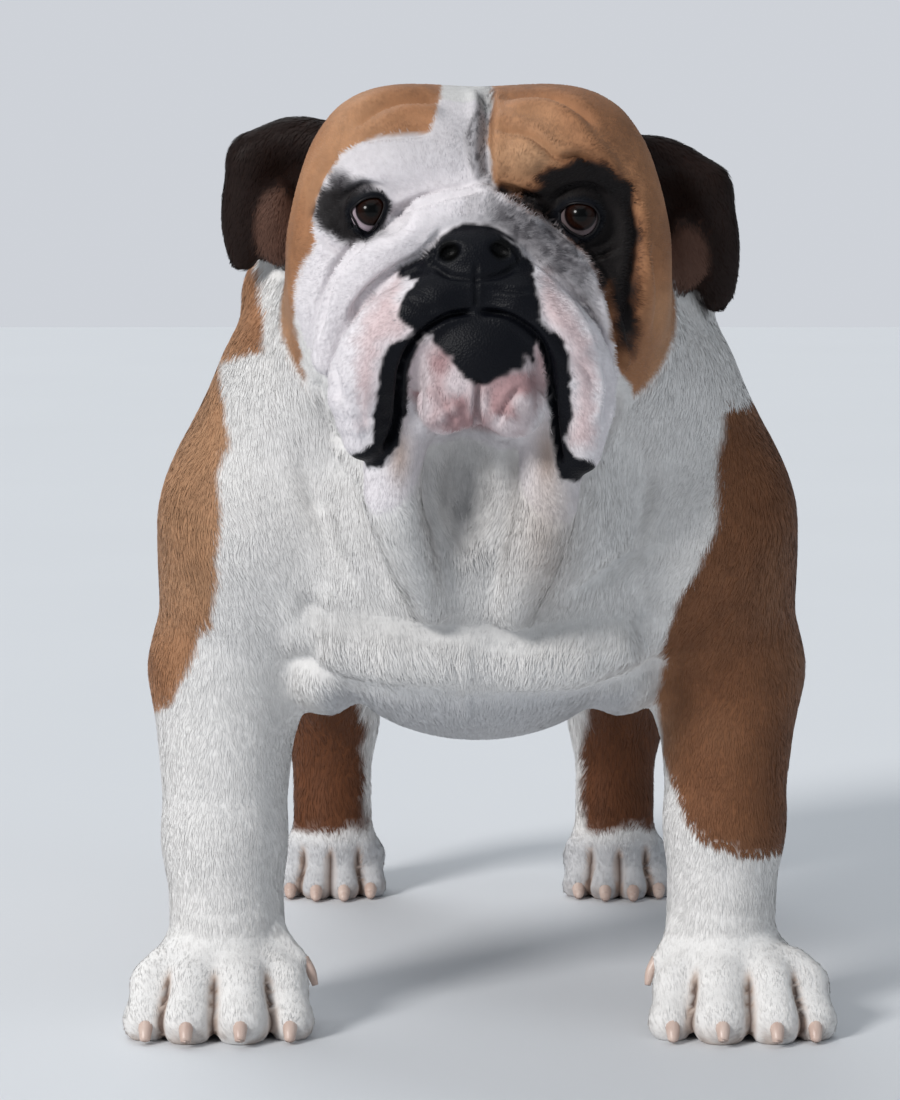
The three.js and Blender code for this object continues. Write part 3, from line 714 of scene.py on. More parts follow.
NOSE_AND_LIPS = [
    (-2, 456), (-13, 455), (-21, 449), (-30, 439), (-42, 433), (-43, 428), (-33, 427), (-39, 419),
    (-43, 411), (-39, 405), (-34, 400), (-47, 394), (-51, 387), (-53, 372), (-55, 359), (-57, 348),
    (-56, 341), (-70, 332), (-66, 324), (-52, 327), (-42, 338), (-38, 359), (-37, 376), (-34, 388),
    (-28, 399), (-20, 406), (-2, 409), (16, 408), (24, 403), (31, 393), (35, 376), (37, 354), (39, 338),
    (42, 322), (50, 318), (59, 318), (65, 325), (58, 331), (50, 334), (45, 342), (49, 353), (49, 362),
    (48, 371), (47, 389), (41, 399), (31, 407), (32, 413), (30, 423), (28, 430), (28, 434), (22, 443),
    (13, 451), (6, 455),
]
CHIN_BLACK = [
    (-37, 399), (-25, 398), (-22, 391), (-14, 386), (-8, 377), (-1, 373), (7, 374), (10, 378),
    (23, 381), (24, 388), (29, 384), (30, 402), (16, 413), (-2, 415), (-20, 411), (-31, 404),
]
PINK_OF_RIGHT_FLEW = [
    (-42, 427), (-54, 418), (-62, 404), (-63, 380), (-60, 352), (-52, 392), (-36, 402), (-42, 412),
]
PINK_OF_LEFT_FLEW = [
    (33, 430), (45, 416), (57, 396), (60, 374), (60, 340), (48, 342), (52, 372), (48, 392), (33, 410),
]

# Inner edge of each tan shoulder, as height and side
TAN_OF_RIGHT_SHOULDER = [
    (170, -260), (178, -182), (184, -171), (220, -157), (235, -149), (270, -145), (321, -142),
    (334, -137), (378, -141), (386, -117), (408, -119), (470, -122),
]
TAN_OF_LEFT_SHOULDER = [
    (92, 260), (100, 150), (111, 122), (151, 105), (177, 101), (197, 103), (230, 105), (247, 109),
    (266, 120), (292, 129), (326, 131), (352, 136), (366, 260), (470, 260),
]


# Where the body's coat changes colour behind the front view
BELLY_LINE = [(120, 214), (200, 196), (300, 206), (360, 150), (420, 60)]
FORE_SOCK_TOP = 98
HIND_SOCK_TOP = 44
SHOULDER_BACK_EDGE = (138, 150)
SADDLE_FRONT_EDGE = (112, 128)
RUMP_START = 330
CHIN_PANEL = [(-36, 398), (-39, 372), (-26, 346), (24, 346), (37, 372), (34, 396)]
NOSTRILS = [(-16, 442), (11.5, 443)]
EAR_LUMPS = [((-110, 38, 450), (13, 14, 24)), ((114, 38, 434), (13, 14, 20))]


def inside(p, outline, soft, wobble=0.0, size=6.0, seed=1):
    """1 inside an outline of the front view and 0 outside, over a soft and slightly uneven edge."""
    edge = outline_distance(p[:, 0], p[:, 2], outline)
    if wobble:
        edge = edge + wobble * cloud(p, size, seed)
    return 1.0 - smooth_step(edge, -soft, soft)


def soft_spot(across, up, centre, radii):
    """1 at the middle of an oval of the front view, fading out round it."""
    return np.exp(-(((across - centre[0]) / radii[0]) ** 2 + ((up - centre[1]) / radii[1]) ** 2))


def skull_body_ears(p):
    """Distances to the skull, to the rest of the body and to the ears."""
    return [together(parts, p) for parts in (skull_parts, body_parts, ear_parts)]


def repeated(row, count):
    """The same row count times."""
    return np.tile(np.array(row), (count, 1))


def tan_of_body(p, wobble):
    """Where the body is tan: the shoulders, the saddle and flanks, and the hindquarters."""
    x, y, z = p.T
    right_edge = np.interp(z, *np.array(TAN_OF_RIGHT_SHOULDER, float).T)
    left_edge = np.interp(z, *np.array(TAN_OF_LEFT_SHOULDER, float).T)
    widening = 2.2 * np.maximum(y - 78, 0) * smooth_step(z, 215, 245)
    shoulders = np.maximum(smooth_step(right_edge + widening - x + wobble, -2.5, 2.5),
                           smooth_step(x - left_edge + widening + wobble, -2.5, 2.5))
    shoulders = shoulders * (1 - smooth_step(y, *SHOULDER_BACK_EDGE))
    belly = np.interp(y, *np.array(BELLY_LINE, float).T)
    flanks = smooth_step(z - belly + 2 * wobble, -4, 4)
    flanks = flanks * smooth_step(y + 0.22 * x + 2 * wobble, *SADDLE_FRONT_EDGE)
    outer = smooth_step(np.abs(x) - 71 - 0.06 * np.maximum(z - 110, 0) + wobble, -3, 3)
    hind = smooth_step(z - HIND_SOCK_TOP + wobble, -3, 3) * np.maximum(outer, smooth_step(z, 236, 262))
    tan = np.where(y > RUMP_START, hind, np.maximum(shoulders, flanks))
    above_socks = smooth_step(z - FORE_SOCK_TOP + wobble, -3, 3)
    return tan * np.where(y < 250, above_socks, 1.0)


def shades_of_tan(p, head, drift, fine):
    """The tan coat, paler where the photo's is, with painted highlight on the brow and the dog's right
    shoulder, painted shade low on the hindquarters, and on the left shoulder a darker brown with painted
    shade.
    """
    x, y, z = p.T
    shade = smooth_step(drift + 0.5 * cloud(p, 12.0, 6), -0.6, 1.0)
    coat = mix(repeated(TAN, len(p)), DEEP_TAN, 0.38 * shade)
    pale_cheek = smooth_step(-x, 90, 112) * head * smooth_step(-z, -440, -400)
    coat = mix(coat, PALE_TAN, 0.55 * np.maximum(pale_cheek, 0.5 * smooth_step(-drift, 0.1, 0.9)))
    # painted highlight: paler tan on the bulge of the brow
    brow_highlight = soft_spot(x, z, (24, 490), (20, 12)) * head
    # painted sheen: paler tan high on the dog's right shoulder
    right_shoulder_sheen = smooth_step(-x, 112, 150) * smooth_step(z, 200, 260) * (1 - head)
    coat = mix(coat, PALE_TAN, np.maximum(0.7 * brow_highlight, 0.45 * right_shoulder_sheen))
    # painted shade: the hindquarters' tan darker low down, under the body
    hind = smooth_step(y, RUMP_START, 380) * smooth_step(-z, -210, -120)
    # the dog's left shoulder a darker brown, partly its own colour and partly painted shade on the side away
    # from the light
    left_shoulder_dark_and_shade = smooth_step(x, 90, 120) * smooth_step(-y, -160, -60) * smooth_step(-z, -400, -330)
    coat = mix(coat, DEEP_TAN, np.maximum(hind, 0.72 * left_shoulder_dark_and_shade))
    return coat * (1.0 + 0.10 * fine)[:, None]


def mask_marks(p, colour, in_front):
    """The greys and blacks of the furrow, the roll over the nose, and the patches round the eyes."""
    x, _, z = p.T
    hairs = smooth_step(cloud(p * np.array([1.0, 1.0, 0.45]), 1.6, 7), -0.2, 0.5)
    speckle = smooth_step(cloud(p, 2.4, 7), -0.6, 0.7)
    furrow = inside(p, FURROW_GREY, 2.0, 1.2) * in_front
    colour = mix(colour, MASK_GREY, furrow * (0.35 + 0.45 * hairs))
    left_half = smooth_step(x, -2, 16) * smooth_step(72 - x, 0, 26)
    grey_roll = inside(p, GREY_ROLL, 5.0, 2.5) * in_front
    colour = mix(colour, MASK_GREY, grey_roll * (0.24 + 0.5 * left_half + 0.2 * speckle))
    grey = inside(p, GREY_PATCH, 3.0, 2.0) * in_front
    colour = mix(colour, MASK_GREY, grey * (0.84 + 0.14 * hairs))
    near_eye = smooth_step(-x, 57, 66) * smooth_step(478 - z, -4, 8) * grey
    colour = mix(colour, MASK_BLACK, near_eye * 0.92)
    patch = inside(p, BLACK_PATCH, 8.0, 3.5) * (1 - 0.9 * inside(p, GREY_ROLL, 3.0))
    black = np.maximum(patch, 0.75 * inside(p, CHEEK_STREAK, 8.0, 3.0)) * in_front
    colour = mix(colour, DEEP_TAN, smooth_step(black, 0.0, 0.45) * 0.85)
    return mix(colour, MASK_BLACK, smooth_step(black, 0.2, 0.62))


def bare_marks(p, colour, muzzle):
    """The pink of flews and chin, the black nose, lips and lids, and painted shade darkening the nostrils.
    """
    x, y, z = p.T
    pink = np.maximum(inside(p, PINK_OF_RIGHT_FLEW, 7.0, 3.0), inside(p, PINK_OF_LEFT_FLEW, 5.0, 2.0))
    colour = mix(colour, PINK, 0.75 * pink * muzzle)
    patches = smooth_step(cloud(p, 11.0, 8), -0.5, 0.4)
    chin = inside(p, CHIN_PANEL, 4.0) * (0.38 + 0.55 * patches)
    colour = mix(colour, CHIN_PINK, chin * muzzle)
    lip_front = smooth_step(-y, np.interp(z, [335, 350], [47, 30]), np.interp(z, [335, 350], [50, 33]))
    lips = np.maximum(inside(p, NOSE_AND_LIPS, 1.2, 1.4, 4.0), inside(p, CHIN_BLACK, 1.8, 1.8, 3.5))
    lips = lips * muzzle * lip_front
    colour = mix(colour, LIP_BLACK, lips)
    # painted shade: the nostrils darkened beyond the nose leather's own black
    holes = np.minimum(*(np.hypot(x - across, z - up) for across, up in NOSTRILS))
    colour = mix(colour, NOSTRIL_SHADE_BLACK, muzzle * (1 - smooth_step(holes, 4.0, 7.0)))
    for side, outline in lid_outlines.items():
        ex, _, ez = EYES[side]
        near = np.nonzero((np.abs(x - ex) < 22) & (np.abs(z - ez) < 22) & (y < -20))[0]
        rim = 1 - smooth_step(outline_distance(x[near], z[near], outline), 2.0, 4.2)
        colour[near] = mix(colour[near], LIP_BLACK, rim)
    return colour, lips


def ear_marks(p, colour, ear):
    """Brown-black ears, redder on the lump of each inner ear."""
    lump = np.minimum(*(np.linalg.norm((p - at) / size, axis=1) for at, size in EAR_LUMPS))
    coat = mix(repeated(EAR_BROWN, len(p)), EAR_PINK, 0.8 * (1 - smooth_step(lump, 0.75, 1.15)))
    return mix(colour, coat, ear)


def underside_marks(p, colour, tan, fine, lips):
    """Thinner, greyer hair with painted shade on the belly; painted shade on the throat, the dog's left
    dewlap pillar, the top of the brisket's roll and the hind paws; and stains beside the mouth.
    """
    x, y, z = p.T
    # thinner, greyer hair on the belly, darkened further with painted shade under the chest
    belly = smooth_step(-z, -204, -190) * smooth_step(z, 140, 160) * smooth_step(-np.abs(x), -96, -80)
    colour = mix(colour, THIN_HAIR_AND_SHADE_GREY, 0.6 * belly * smooth_step(-y, -260, -180))
    # painted shade: the throat between the dewlap's pillars greyed as if in shadow
    throat = soft_spot(x, z, (-7, 306), (23, 44)) * (y < 10) * (y > -60)
    colour = mix(colour, THROAT_SHADE_GREY, 0.62 * throat * (0.8 + 0.35 * fine))
    # painted shade: the dog's left pillar of the dewlap darkened as if in shadow
    dewlap = soft_spot(x, z, (36, 296), (16, 42)) * (y < 10)
    colour = mix(colour, DEWLAP_SHADE, 0.75 * dewlap * (1 - lips))
    corners = soft_spot(np.abs(x + 3), z, (39, 334), (6, 15)) * (y < -30)
    colour = mix(colour, STAIN, 0.6 * corners * (1 - lips))
    # painted shade: a darker band across the white chest along the top of the brisket's roll
    brisket_shade = np.exp(-(((z - 236) / 12) ** 2)) * smooth_step(40 - y, 0, 20)
    brisket_shade = brisket_shade * smooth_step(104 - np.abs(x), 0, 24)
    colour = colour * (1 - 0.2 * brisket_shade * (1 - tan))[:, None]
    # painted shade: the hind paws greyed as if in shadow under the dog
    return mix(colour, THIN_HAIR_AND_SHADE_GREY, 0.6 * smooth_step(y, 380, 400) * smooth_step(-z, -46, -30))


def toe_stains_and_gap_shade(p, colour):
    """Brown stains low on the toes, and between them brown stain with painted shade darkening the gaps."""
    z = p[:, 2]
    toes = smooth_step(14 - z, 0, 12) * smooth_step(cloud(p, 9.0, 9), -0.3, 0.6) * (z < 30)
    # between the toes: brown stain, darkened further with painted shade in the gaps
    gaps = -toe_gaps(p) / TOE_GAP_DEPTH
    colour = mix(colour, STAIN, np.clip(np.maximum(0.5 * toes, 1.3 * gaps), 0, 0.75))
    return mix(colour, DARK_STAIN_AND_SHADE, 0.85 * smooth_step(gaps, 0.35, 0.9))


def markings(p):
    """Colour of the coat at each point, and how bare and moist the skin is there."""
    x, y, z = p.T
    drift = cloud(p, 34.0, 3)
    fine = cloud(p, 7.0, 4)
    skull, body, ears = skull_body_ears(p)
    head = smooth_step(body - skull, -3.0, 5.0)
    crown = smooth_step(y, 60, 90)
    in_front = head * (1 - crown)
    muzzle = in_front * (y < -20)

    face = np.maximum(inside(p, TAN_OF_RIGHT_FACE, 1.6, 1.5), inside(p, TAN_OF_LEFT_FACE, 1.6, 1.5))
    face = np.maximum(face, crown * smooth_step(np.abs(x + 8), 7, 13))
    tan = tan_of_body(p, 3.0 * cloud(p, 16.0, 5) + 1.5 * fine) * (1 - head) + face * head
    colour = repeated(WHITE, len(p)) * (1.0 + 0.03 * drift + 0.03 * fine)[:, None]
    colour = mix(colour, shades_of_tan(p, head, drift, fine), tan)
    colour = mix(colour, MUZZLE_WHITE, muzzle * (1 - tan))
    # painted shade: the white at the front of the head darker towards the top
    colour = colour * (1 - 0.22 * in_front * (1 - tan) * smooth_step(z, 470, 505))[:, None]

    colour = mask_marks(p, colour, in_front)
    colour, lips = bare_marks(p, colour, muzzle)
    colour = ear_marks(p, colour, smooth_step(np.minimum(body, skull) - ears, -6.0, 3.0))
    colour = underside_marks(p, colour, tan, fine, lips)
    colour = toe_stains_and_gap_shade(p, colour)
    return np.clip(colour, 0.001, 0.95), lips


def coat_depth(p):
    """How far the skin lies under the coat's tips."""
    x, y, z = p.T
    face = smooth_step(z, 318, 340) * smooth_step(-y, -70, -20)
    depth = BODY_DEPTH + (FACE_DEPTH - BODY_DEPTH) * face
    low = smooth_step(-z, -75, -45)
    depth = depth + (PAW_DEPTH - depth) * low
    bare = np.maximum(inside(p, NOSE_AND_LIPS, 2.0), inside(p, CHIN_BLACK, 2.0)) * (y < -30) * (z > 300)
    depth = depth + (BARE_DEPTH - depth) * bare
    lids = np.zeros(len(p))
    for ex, _, ez in EYES.values():
        lids = np.maximum(lids, 1 - smooth_step(np.hypot(x - ex, z - ez), 12, 18))
    return depth * (1 - lids * (y < -20))


# Skin


def mesh_of(name, points, triangles):
    """A mesh from rows of points and rows of three corners."""
    mesh = bpy.data.meshes.new(name)
    mesh.vertices.add(len(points))
    mesh.vertices.foreach_set("co", to_frame(points).astype(np.float32).ravel())
    mesh.loops.add(triangles.size)
    mesh.loops.foreach_set("vertex_index", triangles.astype(np.int32).ravel())
    mesh.polygons.add(len(triangles))
    mesh.polygons.foreach_set("loop_start", np.arange(0, triangles.size, 3, dtype=np.int32))
    mesh.update(calc_edges=True)
    mesh.polygons.foreach_set("use_smooth", np.ones(len(triangles), bool))
    return mesh


def mesh_points(mesh):
    flat = np.empty(len(mesh.vertices) * 3)
    mesh.vertices.foreach_get("co", flat)
    return from_frame(flat.reshape(-1, 3))


def set_mesh_points(mesh, p):
    mesh.vertices.foreach_set("co", to_frame(p).ravel())
    mesh.update()


def mesh_normals(mesh):
    flat = np.empty(len(mesh.vertices) * 3)
    mesh.vertices.foreach_get("normal", flat)
    return flat.reshape(-1, 3)


def mesh_edges(mesh):
    flat = np.empty(len(mesh.edges) * 2, np.int32)
    mesh.edges.foreach_get("vertices", flat)
    return flat.reshape(-1, 2)


def smoothed(values, edges, times, share=0.5):
    """Each row moved towards the mean of its neighbours."""
    count = len(values)
    a, b = edges.T
    links = np.bincount(a, minlength=count) + np.bincount(b, minlength=count)
    for _ in range(times):
        around = np.stack([
            np.bincount(a, values[b, i], count) + np.bincount(b, values[a, i], count)
            for i in range(values.shape[1])
        ], axis=1)
        values = values + share * (around / np.maximum(links, 1)[:, None] - values)
    return values


def slid(p, mesh, times):
    """Points evened out along the surface, without sinking into it."""
    edges = mesh_edges(mesh)
    normals = mesh_normals(mesh)
    move = smoothed(p, edges, times) - p
    return p + move - (move * normals).sum(axis=1)[:, None] * normals


def fused_flesh():
    """One closed mesh round the balls of all the masses."""
    bm = bmesh.new()
    bmesh.ops.create_icosphere(bm, subdivisions=3, radius=1.0)
    ball = np.array([vert.co[:] for vert in bm.verts])
    corners = np.array([[vert.index for vert in face.verts] for face in bm.faces])
    bm.free()
    places = np.array([place for part in flesh_parts if not part.hollow for place in part.balls])
    points = np.einsum("kij,nj->kni", places[:, :3, :3], ball) + places[:, None, :3, 3]
    faces = corners[None] + (np.arange(len(places)) * len(ball))[:, None, None]
    mesh = mesh_of("balls", points.reshape(-1, 3), faces.reshape(-1, 3))
    skin = bpy.data.objects.new("skin", mesh)
    bpy.context.scene.collection.objects.link(skin)
    fuse = skin.modifiers.new("fuse", "REMESH")
    fuse.mode = "VOXEL"
    fuse.voxel_size = VOXEL * MM
    evaluated = skin.evaluated_get(bpy.context.evaluated_depsgraph_get())
    fused = bpy.data.meshes.new_from_object(evaluated)
    skin.modifiers.clear()
    skin.data = fused
    fused.name = "skin"
    return skin


def keep_largest_shell(mesh):
    """Removes any bubble left inside the fused flesh."""
    bm = bmesh.new()
    bm.from_mesh(mesh)
    bm.verts.ensure_lookup_table()
    unseen = set(range(len(bm.verts)))
    shells = []
    while unseen:
        stack = [unseen.pop()]
        shell = list(stack)
        while stack:
            for edge in bm.verts[stack.pop()].link_edges:
                for vert in edge.verts:
                    if vert.index in unseen:
                        unseen.discard(vert.index)
                        stack.append(vert.index)
                        shell.append(vert.index)
        shells.append(shell)
    shells.sort(key=len)
    spare = [bm.verts[i] for shell in shells[:-1] for i in shell]
    bmesh.ops.delete(bm, geom=spare, context="VERTS")
    bm.to_mesh(mesh)
    bm.free()


def unwrap(obj):
    """Lays the skin out on its map."""
    mesh = obj.data
    mesh.uv_layers.new(name="OFBake")
    bpy.context.view_layer.objects.active = obj
    obj.select_set(True)
    bpy.ops.object.mode_set(mode="EDIT")
    bpy.ops.mesh.select_all(action="SELECT")
    bpy.ops.uv.smart_project(angle_limit=math.radians(75), island_margin=0.001)
    bpy.ops.object.mode_set(mode="OBJECT")
    obj.select_set(False)


def refine(mesh, wanted):
    """Halves the faces whose middles the test wants."""
    bm = bmesh.new()
    bm.from_mesh(mesh)
    middles = from_frame(np.array([face.calc_center_median() for face in bm.faces]))
    chosen = wanted(middles)
    edges = {edge for face, keep in zip(bm.faces, chosen) if keep for edge in face.edges}
    bmesh.ops.subdivide_edges(bm, edges=list(edges), cuts=1, use_grid_fill=True)
    large = [face for face in bm.faces if len(face.verts) > 4]
    bmesh.ops.triangulate(bm, faces=large)
    bm.to_mesh(mesh)
    bm.free()


# Regions of smaller faces


def on_face(p):
    x, y, z = p.T
    return (y < 24) & (z > 322) & (np.abs(x) < 112)


def on_chest(p):
    x, y, z = p.T
    return (y < 64) & (z > 146) & (z < 324) & (np.abs(x) < 112)


def on_features(p):
    x, y, z = p.T
    return (y < -8) & (z > 326) & (z < 526) & (np.abs(x) < 88)


def on_toes(p):
    _, y, z = p.T
    return (z < 84) & ((y < 54) | ((z < 42) & (y > 380) & (y < 432)))


def make_skin():
    """The skin: drawn to its depth, evened out, refined where it has features, then folded."""
    skin = fused_flesh()
    mesh = skin.data
    keep_largest_shell(mesh)
    p = settle(mesh_points(mesh), coat_depth, 4, 4.0)
    set_mesh_points(mesh, p)
    p = settle(slid(p, mesh, 3), coat_depth, 2, 3.0)
    set_mesh_points(mesh, p)
    unwrap(skin)
    for wanted, times in ((on_toes, 2), (on_chest, 2), (on_face, 2), (on_features, 4)):
        refine(mesh, wanted)
        p = settle(mesh_points(mesh), coat_depth, 3, 3.0)
        set_mesh_points(mesh, p)
        p = settle(slid(p, mesh, times), coat_depth, 2, 2.0)
        set_mesh_points(mesh, p)
    normals = mesh_normals(mesh)
    p = p + normals * folds(p, normals)[:, None]
    p[:, 2] = np.maximum(p[:, 2], 0.0)
    set_mesh_points(mesh, p)
    mesh.polygons.foreach_set("use_smooth", np.ones(len(mesh.polygons), bool))
    colour, bare = markings(p)
    paint(mesh, colour, bare)
    return skin


def paint(mesh, colour, bare):
    """Stores each point's colour, and how bare it is, for the materials to read."""
    hue = mesh.attributes.new("coat_colour", "FLOAT_COLOR", "POINT")
    hue.data.foreach_set("color", np.hstack([colour, np.ones((len(colour), 1))]).astype(np.float32).ravel())
    moist = mesh.attributes.new("bare", "FLOAT", "POINT")
    moist.data.foreach_set("value", bare.astype(np.float32))


# Coat

# Directions in which the hair lies, and the place that the hair of the face runs from
DOWN_THE_LEGS = (0.0, 0.25, -1.0)
OVER_THE_PAWS = (0.0, -1.0, -0.45)
NOSE_MIDDLE = np.array([-2.0, -86.0, 440.0])

ZONES = {
    # name: tufts, length, width, lift
    "face": (64000, 3.0, 0.5, 0.3),
    "head_behind": (46000, 5.0, 0.7, 0.5),
    "neck": (56000, 7.0, 0.75, 0.55),
    "chest": (60000, 7.0, 0.75, 0.55),
    "back": (62000, 7.5, 0.85, 0.7),
    "hindquarters": (50000, 7.0, 0.8, 0.7),
    "forelegs": (50000, 5.6, 0.7, 0.5),
    "paws": (26000, 4.0, 0.6, 0.4),
}


def zone_of(p):
    """The coat piece that each place belongs to, as its number in ZONES."""
    x, y, z = p.T
    names = list(ZONES)
    zone = np.full(len(p), names.index("chest"))
    zone[y > 130] = names.index("back")
    zone[y > 300] = names.index("hindquarters")
    zone[(z > 300) & (y < 130)] = names.index("neck")
    skull, body, ears = skull_body_ears(p)
    zone[np.minimum(skull, ears) < body] = names.index("head_behind")
    zone[(skull < body) & (y < 10)] = names.index("face")
    zone[(z < 205) & (np.abs(x) > 84) & (y < 180)] = names.index("forelegs")
    zone[z < 56] = names.index("paws")
    return zone


def lie_of_coat(p, normals):
    """The way the hair lies at each root."""
    x, y, z = p.T
    side = np.sign(x)
    none = np.zeros(len(p))
    all_along = np.ones(len(p))
    down = repeated(DOWN_THE_LEGS, len(p))
    back = np.stack([none, all_along, -0.45 * smooth_step(np.abs(x), 20, 80)], axis=1)
    trunk = smooth_step(y, 90, 170) * smooth_step(z, 190, 230)
    way = mix(down, back, trunk)
    chest = smooth_step(-y, -70, -20) * smooth_step(z, 160, 190)
    inwards = -0.35 * side * smooth_step(np.abs(x), 0, 40)
    way = way + np.stack([inwards, none, none], axis=1) * chest[:, None]
    skull, body, ears = skull_body_ears(p)
    from_nose = unit(p - NOSE_MIDDLE)
    from_nose[:, 1] += 0.35
    way = mix(unit(way), from_nose, smooth_step(body - skull, -4, 8))
    for ex, ey, ez in EYES.values():
        round_eye = 1 - smooth_step(np.linalg.norm(p - (ex, ey, ez), axis=1), 12, 30)
        out = unit(p - np.array([ex * 0.92, ey - 8, ez + 2]))
        way = mix(way, out, 0.7 * round_eye)
    ear = smooth_step(np.minimum(body, skull) - ears, -6, 3)
    way = mix(way, np.stack([0.5 * side, none, -all_along], axis=1), ear)
    feet = smooth_step(-z, -70, -40)
    way = mix(way, OVER_THE_PAWS, feet)
    way = way - (way * normals).sum(axis=1)[:, None] * normals
    return unit(way)


def scatter_roots(mesh, random):
    """Random places on the skin for each coat piece, with their normals and their places on its map."""
    mesh.calc_loop_triangles()
    count = len(mesh.loop_triangles)
    corners = np.empty(count * 3, np.int32)
    mesh.loop_triangles.foreach_get("vertices", corners)
    corners = corners.reshape(-1, 3)
    loops = np.empty(count * 3, np.int32)
    mesh.loop_triangles.foreach_get("loops", loops)
    loops = loops.reshape(-1, 3)
    p = mesh_points(mesh)
    normals = mesh_normals(mesh)
    uv = np.empty(len(mesh.loops) * 2)
    mesh.uv_layers["OFBake"].data.foreach_get("uv", uv)
    uv = uv.reshape(-1, 2)
    a, b, c = (p[corners[:, i]] for i in range(3))
    area = np.linalg.norm(np.cross(b - a, c - a), axis=1) / 2
    middle = (a + b + c) / 3
    zone = zone_of(middle)
    roots = []
    for number, (name, (tufts, *_)) in enumerate(ZONES.items()):
        here = area * (zone == number)
        picked = random.choice(count, tufts, p=here / here.sum())
        share = random.dirichlet((1.0, 1.0, 1.0), tufts)
        spot = (p[corners[picked]] * share[:, :, None]).sum(axis=1)
        normal = unit((normals[corners[picked]] * share[:, :, None]).sum(axis=1))
        patch = (uv[loops[picked]] * share[:, :, None]).sum(axis=1)
        roots.append((name, spot, normal, patch))
    return roots


# Each tuft's own patch of the skin's map, and one blade: its points' places on the patch, their
# painted shade from root to tip, darkest at the root, and its three triangles
TUFT_PATCH = 0.003
BLADE_MAP = np.array([(0, 0), (1, 0), (0, 0.5), (1, 0.5), (0.5, 1)])
BLADE_PAINTED_SHADE = np.array([0.97, 0.97, 1.0, 1.0, 1.02])
BLADE_FACES = [(0, 3, 1), (0, 2, 3), (2, 4, 3)]
BLADE_POINTS = len(BLADE_MAP)
LOWEST_HAIR = 0.3


def haired(spot, bare):
    """Roots that carry hair: none on bare skin, at the lids' edges, between the toes or on the soles."""
    keep = (bare < 0.4) & (toe_gaps(spot) >= -0.12 * TOE_GAP_DEPTH) & (spot[:, 2] > 2.5)
    for outline in lid_outlines.values():
        keep &= (outline_distance(spot[:, 0], spot[:, 2], outline) >= 1.2) | (spot[:, 1] >= -20)
    return keep


def tuft_mesh(name, spot, normal, patch, random):
    """One joined mesh of thin blades, each a root pair, a middle pair and a tip."""
    _, length, width, lift = ZONES[name]
    colour, bare = markings(spot)
    keep = haired(spot, bare)
    spot, normal, patch, colour = spot[keep], normal[keep], patch[keep], colour[keep]
    count = len(spot)
    way = lie_of_coat(spot, normal)
    turn = random.normal(0.0, 0.16, count) + 0.35 * cloud(spot, 14.0, 21)
    side = np.cross(normal, way)
    way = way * np.cos(turn)[:, None] + side * np.sin(turn)[:, None]
    side = np.cross(normal, way)
    long = length * random.uniform(0.75, 1.25, count)
    wide = width * random.uniform(0.7, 1.2, count)
    high = lift * random.uniform(0.55, 1.05, count)
    roll_over = random.normal(0.0, 0.18, count)
    across = unit(side + normal * roll_over[:, None]) * (wide / 2)[:, None]
    root = spot - normal * 0.25
    middle = spot + way * (long * 0.5)[:, None] + normal * (high * 0.75)[:, None]
    tip = spot + way * long[:, None] + normal * high[:, None]
    narrower = across * 0.8
    rows = np.stack([root - across, root + across, middle - narrower, middle + narrower, tip], axis=1)
    rows[:, :, 2] = np.maximum(rows[:, :, 2], LOWEST_HAIR)
    base = (np.arange(count) * BLADE_POINTS)[:, None]
    faces = np.concatenate([base + corners for corners in BLADE_FACES], axis=1).reshape(-1, 3)
    mesh = mesh_of("coat_" + name, rows.reshape(-1, 3), faces)
    uv = mesh.uv_layers.new(name="OFBake")
    laid = patch[:, None, :] + TUFT_PATCH * BLADE_MAP
    uv.data.foreach_set("uv", laid.reshape(-1, 2)[faces.ravel()].astype(np.float32).ravel())
    tint = 1.0 + random.normal(0.0, 0.03, count)
    # each blade darkened towards its root with painted shade
    shade = (colour * tint[:, None])[:, None, :] * BLADE_PAINTED_SHADE[:, None]
    paint(mesh, np.clip(shade.reshape(-1, 3), 0.003, 0.97), np.zeros(count * BLADE_POINTS))
    facing = unit(normal + 0.12 * unit(np.cross(way, across)) + 0.12 * way)
    loose = mesh.attributes.new("custom_normal", "FLOAT_VECTOR", "POINT")
    loose.data.foreach_set("vector", np.repeat(facing, BLADE_POINTS, axis=0).astype(np.float32).ravel())
    return mesh


def make_coat(skin):
    """The eight coat pieces, in the order of ZONES."""
    random = np.random.default_rng(SEED)
    pieces = []
    for name, spot, normal, patch in scatter_roots(skin.data, random):
        mesh = tuft_mesh(name, spot, normal, patch, random)
        piece = bpy.data.objects.new("coat_" + name, mesh)
        bpy.context.scene.collection.objects.link(piece)
        pieces.append(piece)
    return pieces


# Eyes and claws


CORNEA_RISE = 0.8
CORNEA_RADIUS = 8.4


def make_eye(side):
    """An eyeball whose own map runs over its front, with the cornea standing a little proud."""
    at = np.array(EYES[side])
    right, up = GAZE[side]
    bm = bmesh.new()
    bmesh.ops.create_icosphere(bm, subdivisions=5, radius=EYE_RADIUS)
    uv = bm.loops.layers.uv.new("front")
    for vert in bm.verts:
        off = math.hypot(vert.co.x - right, vert.co.z - up)
        if vert.co.y < 0:
            vert.co.y -= CORNEA_RISE * max(0.0, 1 - (off / CORNEA_RADIUS) ** 2) ** 1.5
    for face in bm.faces:
        face.smooth = True
        for loop in face.loops:
            co = loop.vert.co
            loop[uv].uv = (0.5 + (co.x - right) / (4 * EYE_RADIUS), 0.5 + (co.z - up) / (4 * EYE_RADIUS))
            if co.y > 0:
                loop[uv].uv = (0.99, 0.99)
    bmesh.ops.transform(bm, matrix=Matrix.Translation(Vector(at)), verts=bm.verts)
    for vert in bm.verts:
        vert.co = Vector(to_frame(np.array(vert.co)))
    mesh = bpy.data.meshes.new("eyeball_" + side)
    bm.to_mesh(mesh)
    bm.free()
    eye = bpy.data.objects.new("eyeball_" + side, mesh)
    bpy.context.scene.collection.objects.link(eye)
    return eye


RIM_RADIUS = 0.6
# How far the rims lie under the lids' outer faces
RIM_INSET = 0.7


